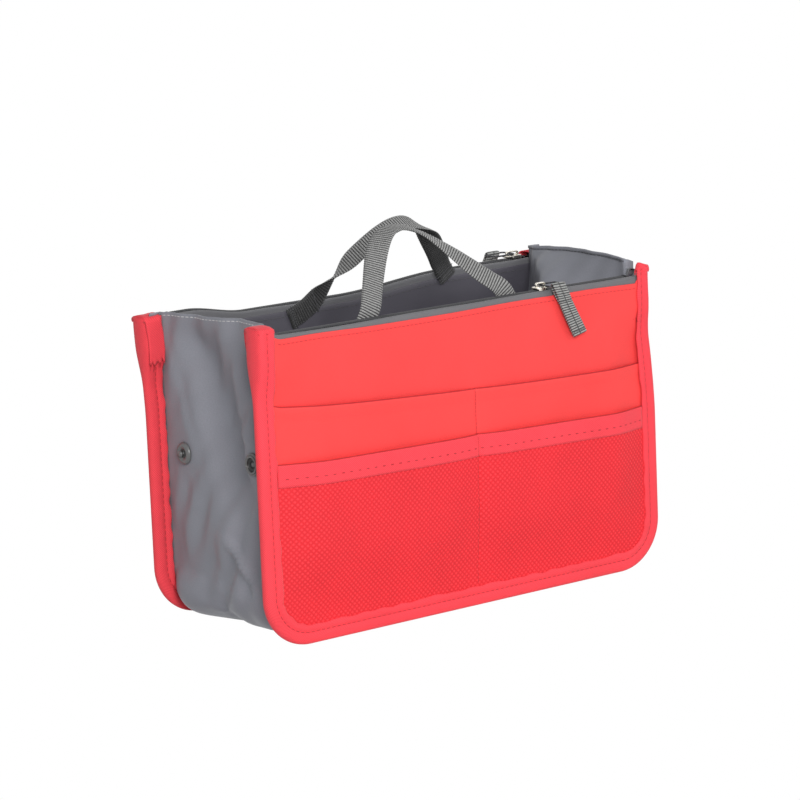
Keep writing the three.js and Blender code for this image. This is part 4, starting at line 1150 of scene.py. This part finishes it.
def add_turned(name, profile, face_x, side, y, body, node):
    profile = np.array(profile)
    around = np.arange(48) * 2.0 * math.pi / 48
    radius = np.maximum(profile[:, :1], 0.01)
    x = face_x + side * profile[:, 1:2] + 0.0 * around[None, :]
    points = np.stack([x, y + radius * np.cos(around), stud_level(y) + radius * np.sin(around)], axis=-1)
    faces = grid_faces(*points.shape[:2], wrap_columns=True)
    obj = face_outwards(new_object(name, points, faces, PLASTIC))
    # Bands flagged in the profile take the near black second material: painted shade in the recesses
    obj.data.materials.append(STUD_RECESS_SHADE)
    obj.data.polygons.foreach_set("material_index", np.repeat(profile[:-1, 2].astype(int), len(around)))
    finish_piece(obj, body, [node])


def add_studs():
    for label, sign in (("left", -1.0), ("right", 1.0)):
        for panel, y, kind, profile in (
            ("front", -STUD_FROM_MIDDLE, "socket", SOCKET),
            ("rear", STUD_FROM_MIDDLE, "knob", KNOB),
        ):
            name = f"{panel}_{label}_stud"
            body = f"{panel}_studs"
            face = sign * SIDE_FACE + REAR_SHIFT * (0.5 + y / PANEL_SPACING)
            add_turned(f"{name}_{kind}_half", profile, face, sign, y, body, f"{name}_{kind}")
            add_turned(f"{name}_cap_half", CAP, face - 0.7 * sign, -sign, y, body, f"{name}_cap")


# Seams of a panel
def add_seams(panel, red, grey):
    outward = outward_of(panel)
    x = np.linspace(2.5 - INNER_HALF, INNER_HALF - 2.5, 200)
    level = hem_top(x) - 7.4
    red.row(place(panel, x, hem_out(x, level) + 0.26, level), outward, 5.4, 2.0, 0.26)
    level = panel_top(x) - 2.2
    red.row(place(panel, x, panel_out(x, level) + 0.28, level), outward, 2.8, 2.2, 0.15)
    hem_level = float(hem_top(DIVIDER))
    mouth_level = float(slip_mouth(DIVIDER))
    for out, low, high, radius in (
        (mesh_out, 12.0, hem_level - HEM_HEIGHT - 0.6, 0.16),
        (hem_out, hem_level - HEM_HEIGHT, hem_level - 0.4, 0.16),
        (slip_out, hem_level + 0.4, mouth_level - 0.4, 0.24),
    ):
        z = np.linspace(low, high, 40)
        red.row(place(panel, DIVIDER, out(DIVIDER, z) + 0.25, z), outward, 2.2, 2.4, radius)
    level = PANEL_TOP - LINING_DROP - 2.4 + 0.0 * x
    grey.row(place(panel, x, lining_out(x, level) - 0.28, level), -outward, 3.0, 2.4, 0.22)


def add_panel(panel):
    red = Thread()
    grey = Thread()
    pull = Thread()
    add_panel_cloths(panel)
    add_binding(panel, red)
    for label, side in (("left", -1), ("right", 1)):
        add_binding_end(panel, side, label, red)
    for label, side in (("outer", 1.0), ("inner", -1.0)):
        add_zip_tape(panel, side, label)
        add_coil(panel, side, label)
    add_stops(panel)
    add_slider(panel)
    add_bail(panel)
    add_tab(panel, pull)
    add_handle(panel, grey)
    add_seams(panel, red, grey)
    finish_piece(red.build(f"{panel}_red_stitches", RED_THREAD), f"{panel}_panel")
    finish_piece(grey.build(f"{panel}_grey_stitches", GREY_THREAD), f"{panel}_panel")
    finish_piece(pull.build(f"{panel}_pull_stitches", GREY_THREAD), f"{panel}_pull")


# Studio
def seen_as_white(tree, surface, glow_kind):
    """White where the camera looks, and the given surface for the light that falls on the bag."""
    rays = add_node(tree, "ShaderNodeLightPath")
    seen = calc(tree, "MAXIMUM", rays.outputs["Is Camera Ray"], rays.outputs["Is Glossy Ray"])
    seen = calc(tree, "MAXIMUM", seen, rays.outputs["Is Transmission Ray"])
    glow = add_node(tree, glow_kind, {"Color": (1.0, 1.0, 1.0, 1.0), "Strength": 1.0})
    return add_node(tree, "ShaderNodeMixShader", {0: seen, 1: surface, 2: glow.outputs[0]}).outputs[0]


def add_studio():
    scene = bpy.context.scene
    scene.view_settings.view_transform = "Standard"
    bpy.ops.mesh.primitive_plane_add(size=8.0, location=(0.0, 0.0, -0.0003))
    floor = bpy.context.object
    floor.name = "floor"
    material = bpy.data.materials.new("floor")
    material.use_nodes = True
    tree = material.node_tree
    tree.nodes.clear()
    pale = add_node(tree, "ShaderNodeBsdfDiffuse", {"Color": (0.85, 0.85, 0.85, 1.0)}).outputs[0]
    output = add_node(tree, "ShaderNodeOutputMaterial")
    tree.links.new(seen_as_white(tree, pale, "ShaderNodeEmission"), output.inputs["Surface"])
    floor.data.materials.append(material)
    world = scene.world or bpy.data.worlds.new("studio")
    scene.world = world
    world.use_nodes = True
    tree = world.node_tree
    tree.nodes.clear()
    dim = add_node(tree, "ShaderNodeBackground", {"Color": (1.0, 1.0, 1.0, 1.0), "Strength": WORLD_LIGHT}).outputs[0]
    output = add_node(tree, "ShaderNodeOutputWorld")
    tree.links.new(seen_as_white(tree, dim, "ShaderNodeBackground"), output.inputs["Surface"])
    for name, spot, aim, size, power in LAMPS:
        lamp = bpy.data.lights.new(name, "AREA")
        lamp.energy = power
        lamp.shape = "RECTANGLE"
        lamp.size, lamp.size_y = size
        obj = bpy.data.objects.new(name, lamp)
        bpy.context.collection.objects.link(obj)
        obj.location = spot
        obj.rotation_mode = "QUATERNION"
        obj.rotation_quaternion = (Vector(aim) - Vector(spot)).to_track_quat("-Z", "Y")


WORLD_LIGHT = 0.33
LAMPS = [
    ("key", (-0.9, -1.7, 1.0), (0.0, 0.0, 0.09), (0.7, 0.9), 30.5),
    ("fill", (1.0, -1.6, 1.2), (0.0, 0.0, 0.08), (1.0, 1.0), 10.8),
]

# View of the photograph
AZIMUTH = -37.48
ELEVATION = 10.64
ROLL = 2.42
DISTANCE = 1.9826
TARGET = Vector((-0.00225, 0.0, 0.1081))
FOCAL_PIXELS = 3600.0
IMAGE_PIXELS = 800.0


def add_camera():
    a, e, r = (math.radians(v) for v in (AZIMUTH, ELEVATION, ROLL))
    back = Vector((math.sin(a) * math.cos(e), -math.cos(a) * math.cos(e), math.sin(e)))
    right = Vector((math.cos(a), math.sin(a), 0.0))
    up = back.cross(right)
    turned_right = right * math.cos(r) - up * math.sin(r)
    turned_up = right * math.sin(r) + up * math.cos(r)
    data = bpy.data.cameras.new("camera")
    data.sensor_width = 36.0
    data.lens = FOCAL_PIXELS * data.sensor_width / IMAGE_PIXELS
    camera = bpy.data.objects.new("camera", data)
    bpy.context.collection.objects.link(camera)
    turn = Matrix((turned_right, turned_up, back)).transposed().to_4x4()
    camera.matrix_world = Matrix.Translation(TARGET + back * DISTANCE) @ turn
    bpy.context.scene.camera = camera


for side in PANELS:
    add_panel(side)
add_strip()
add_studs()
add_studio()
add_camera()
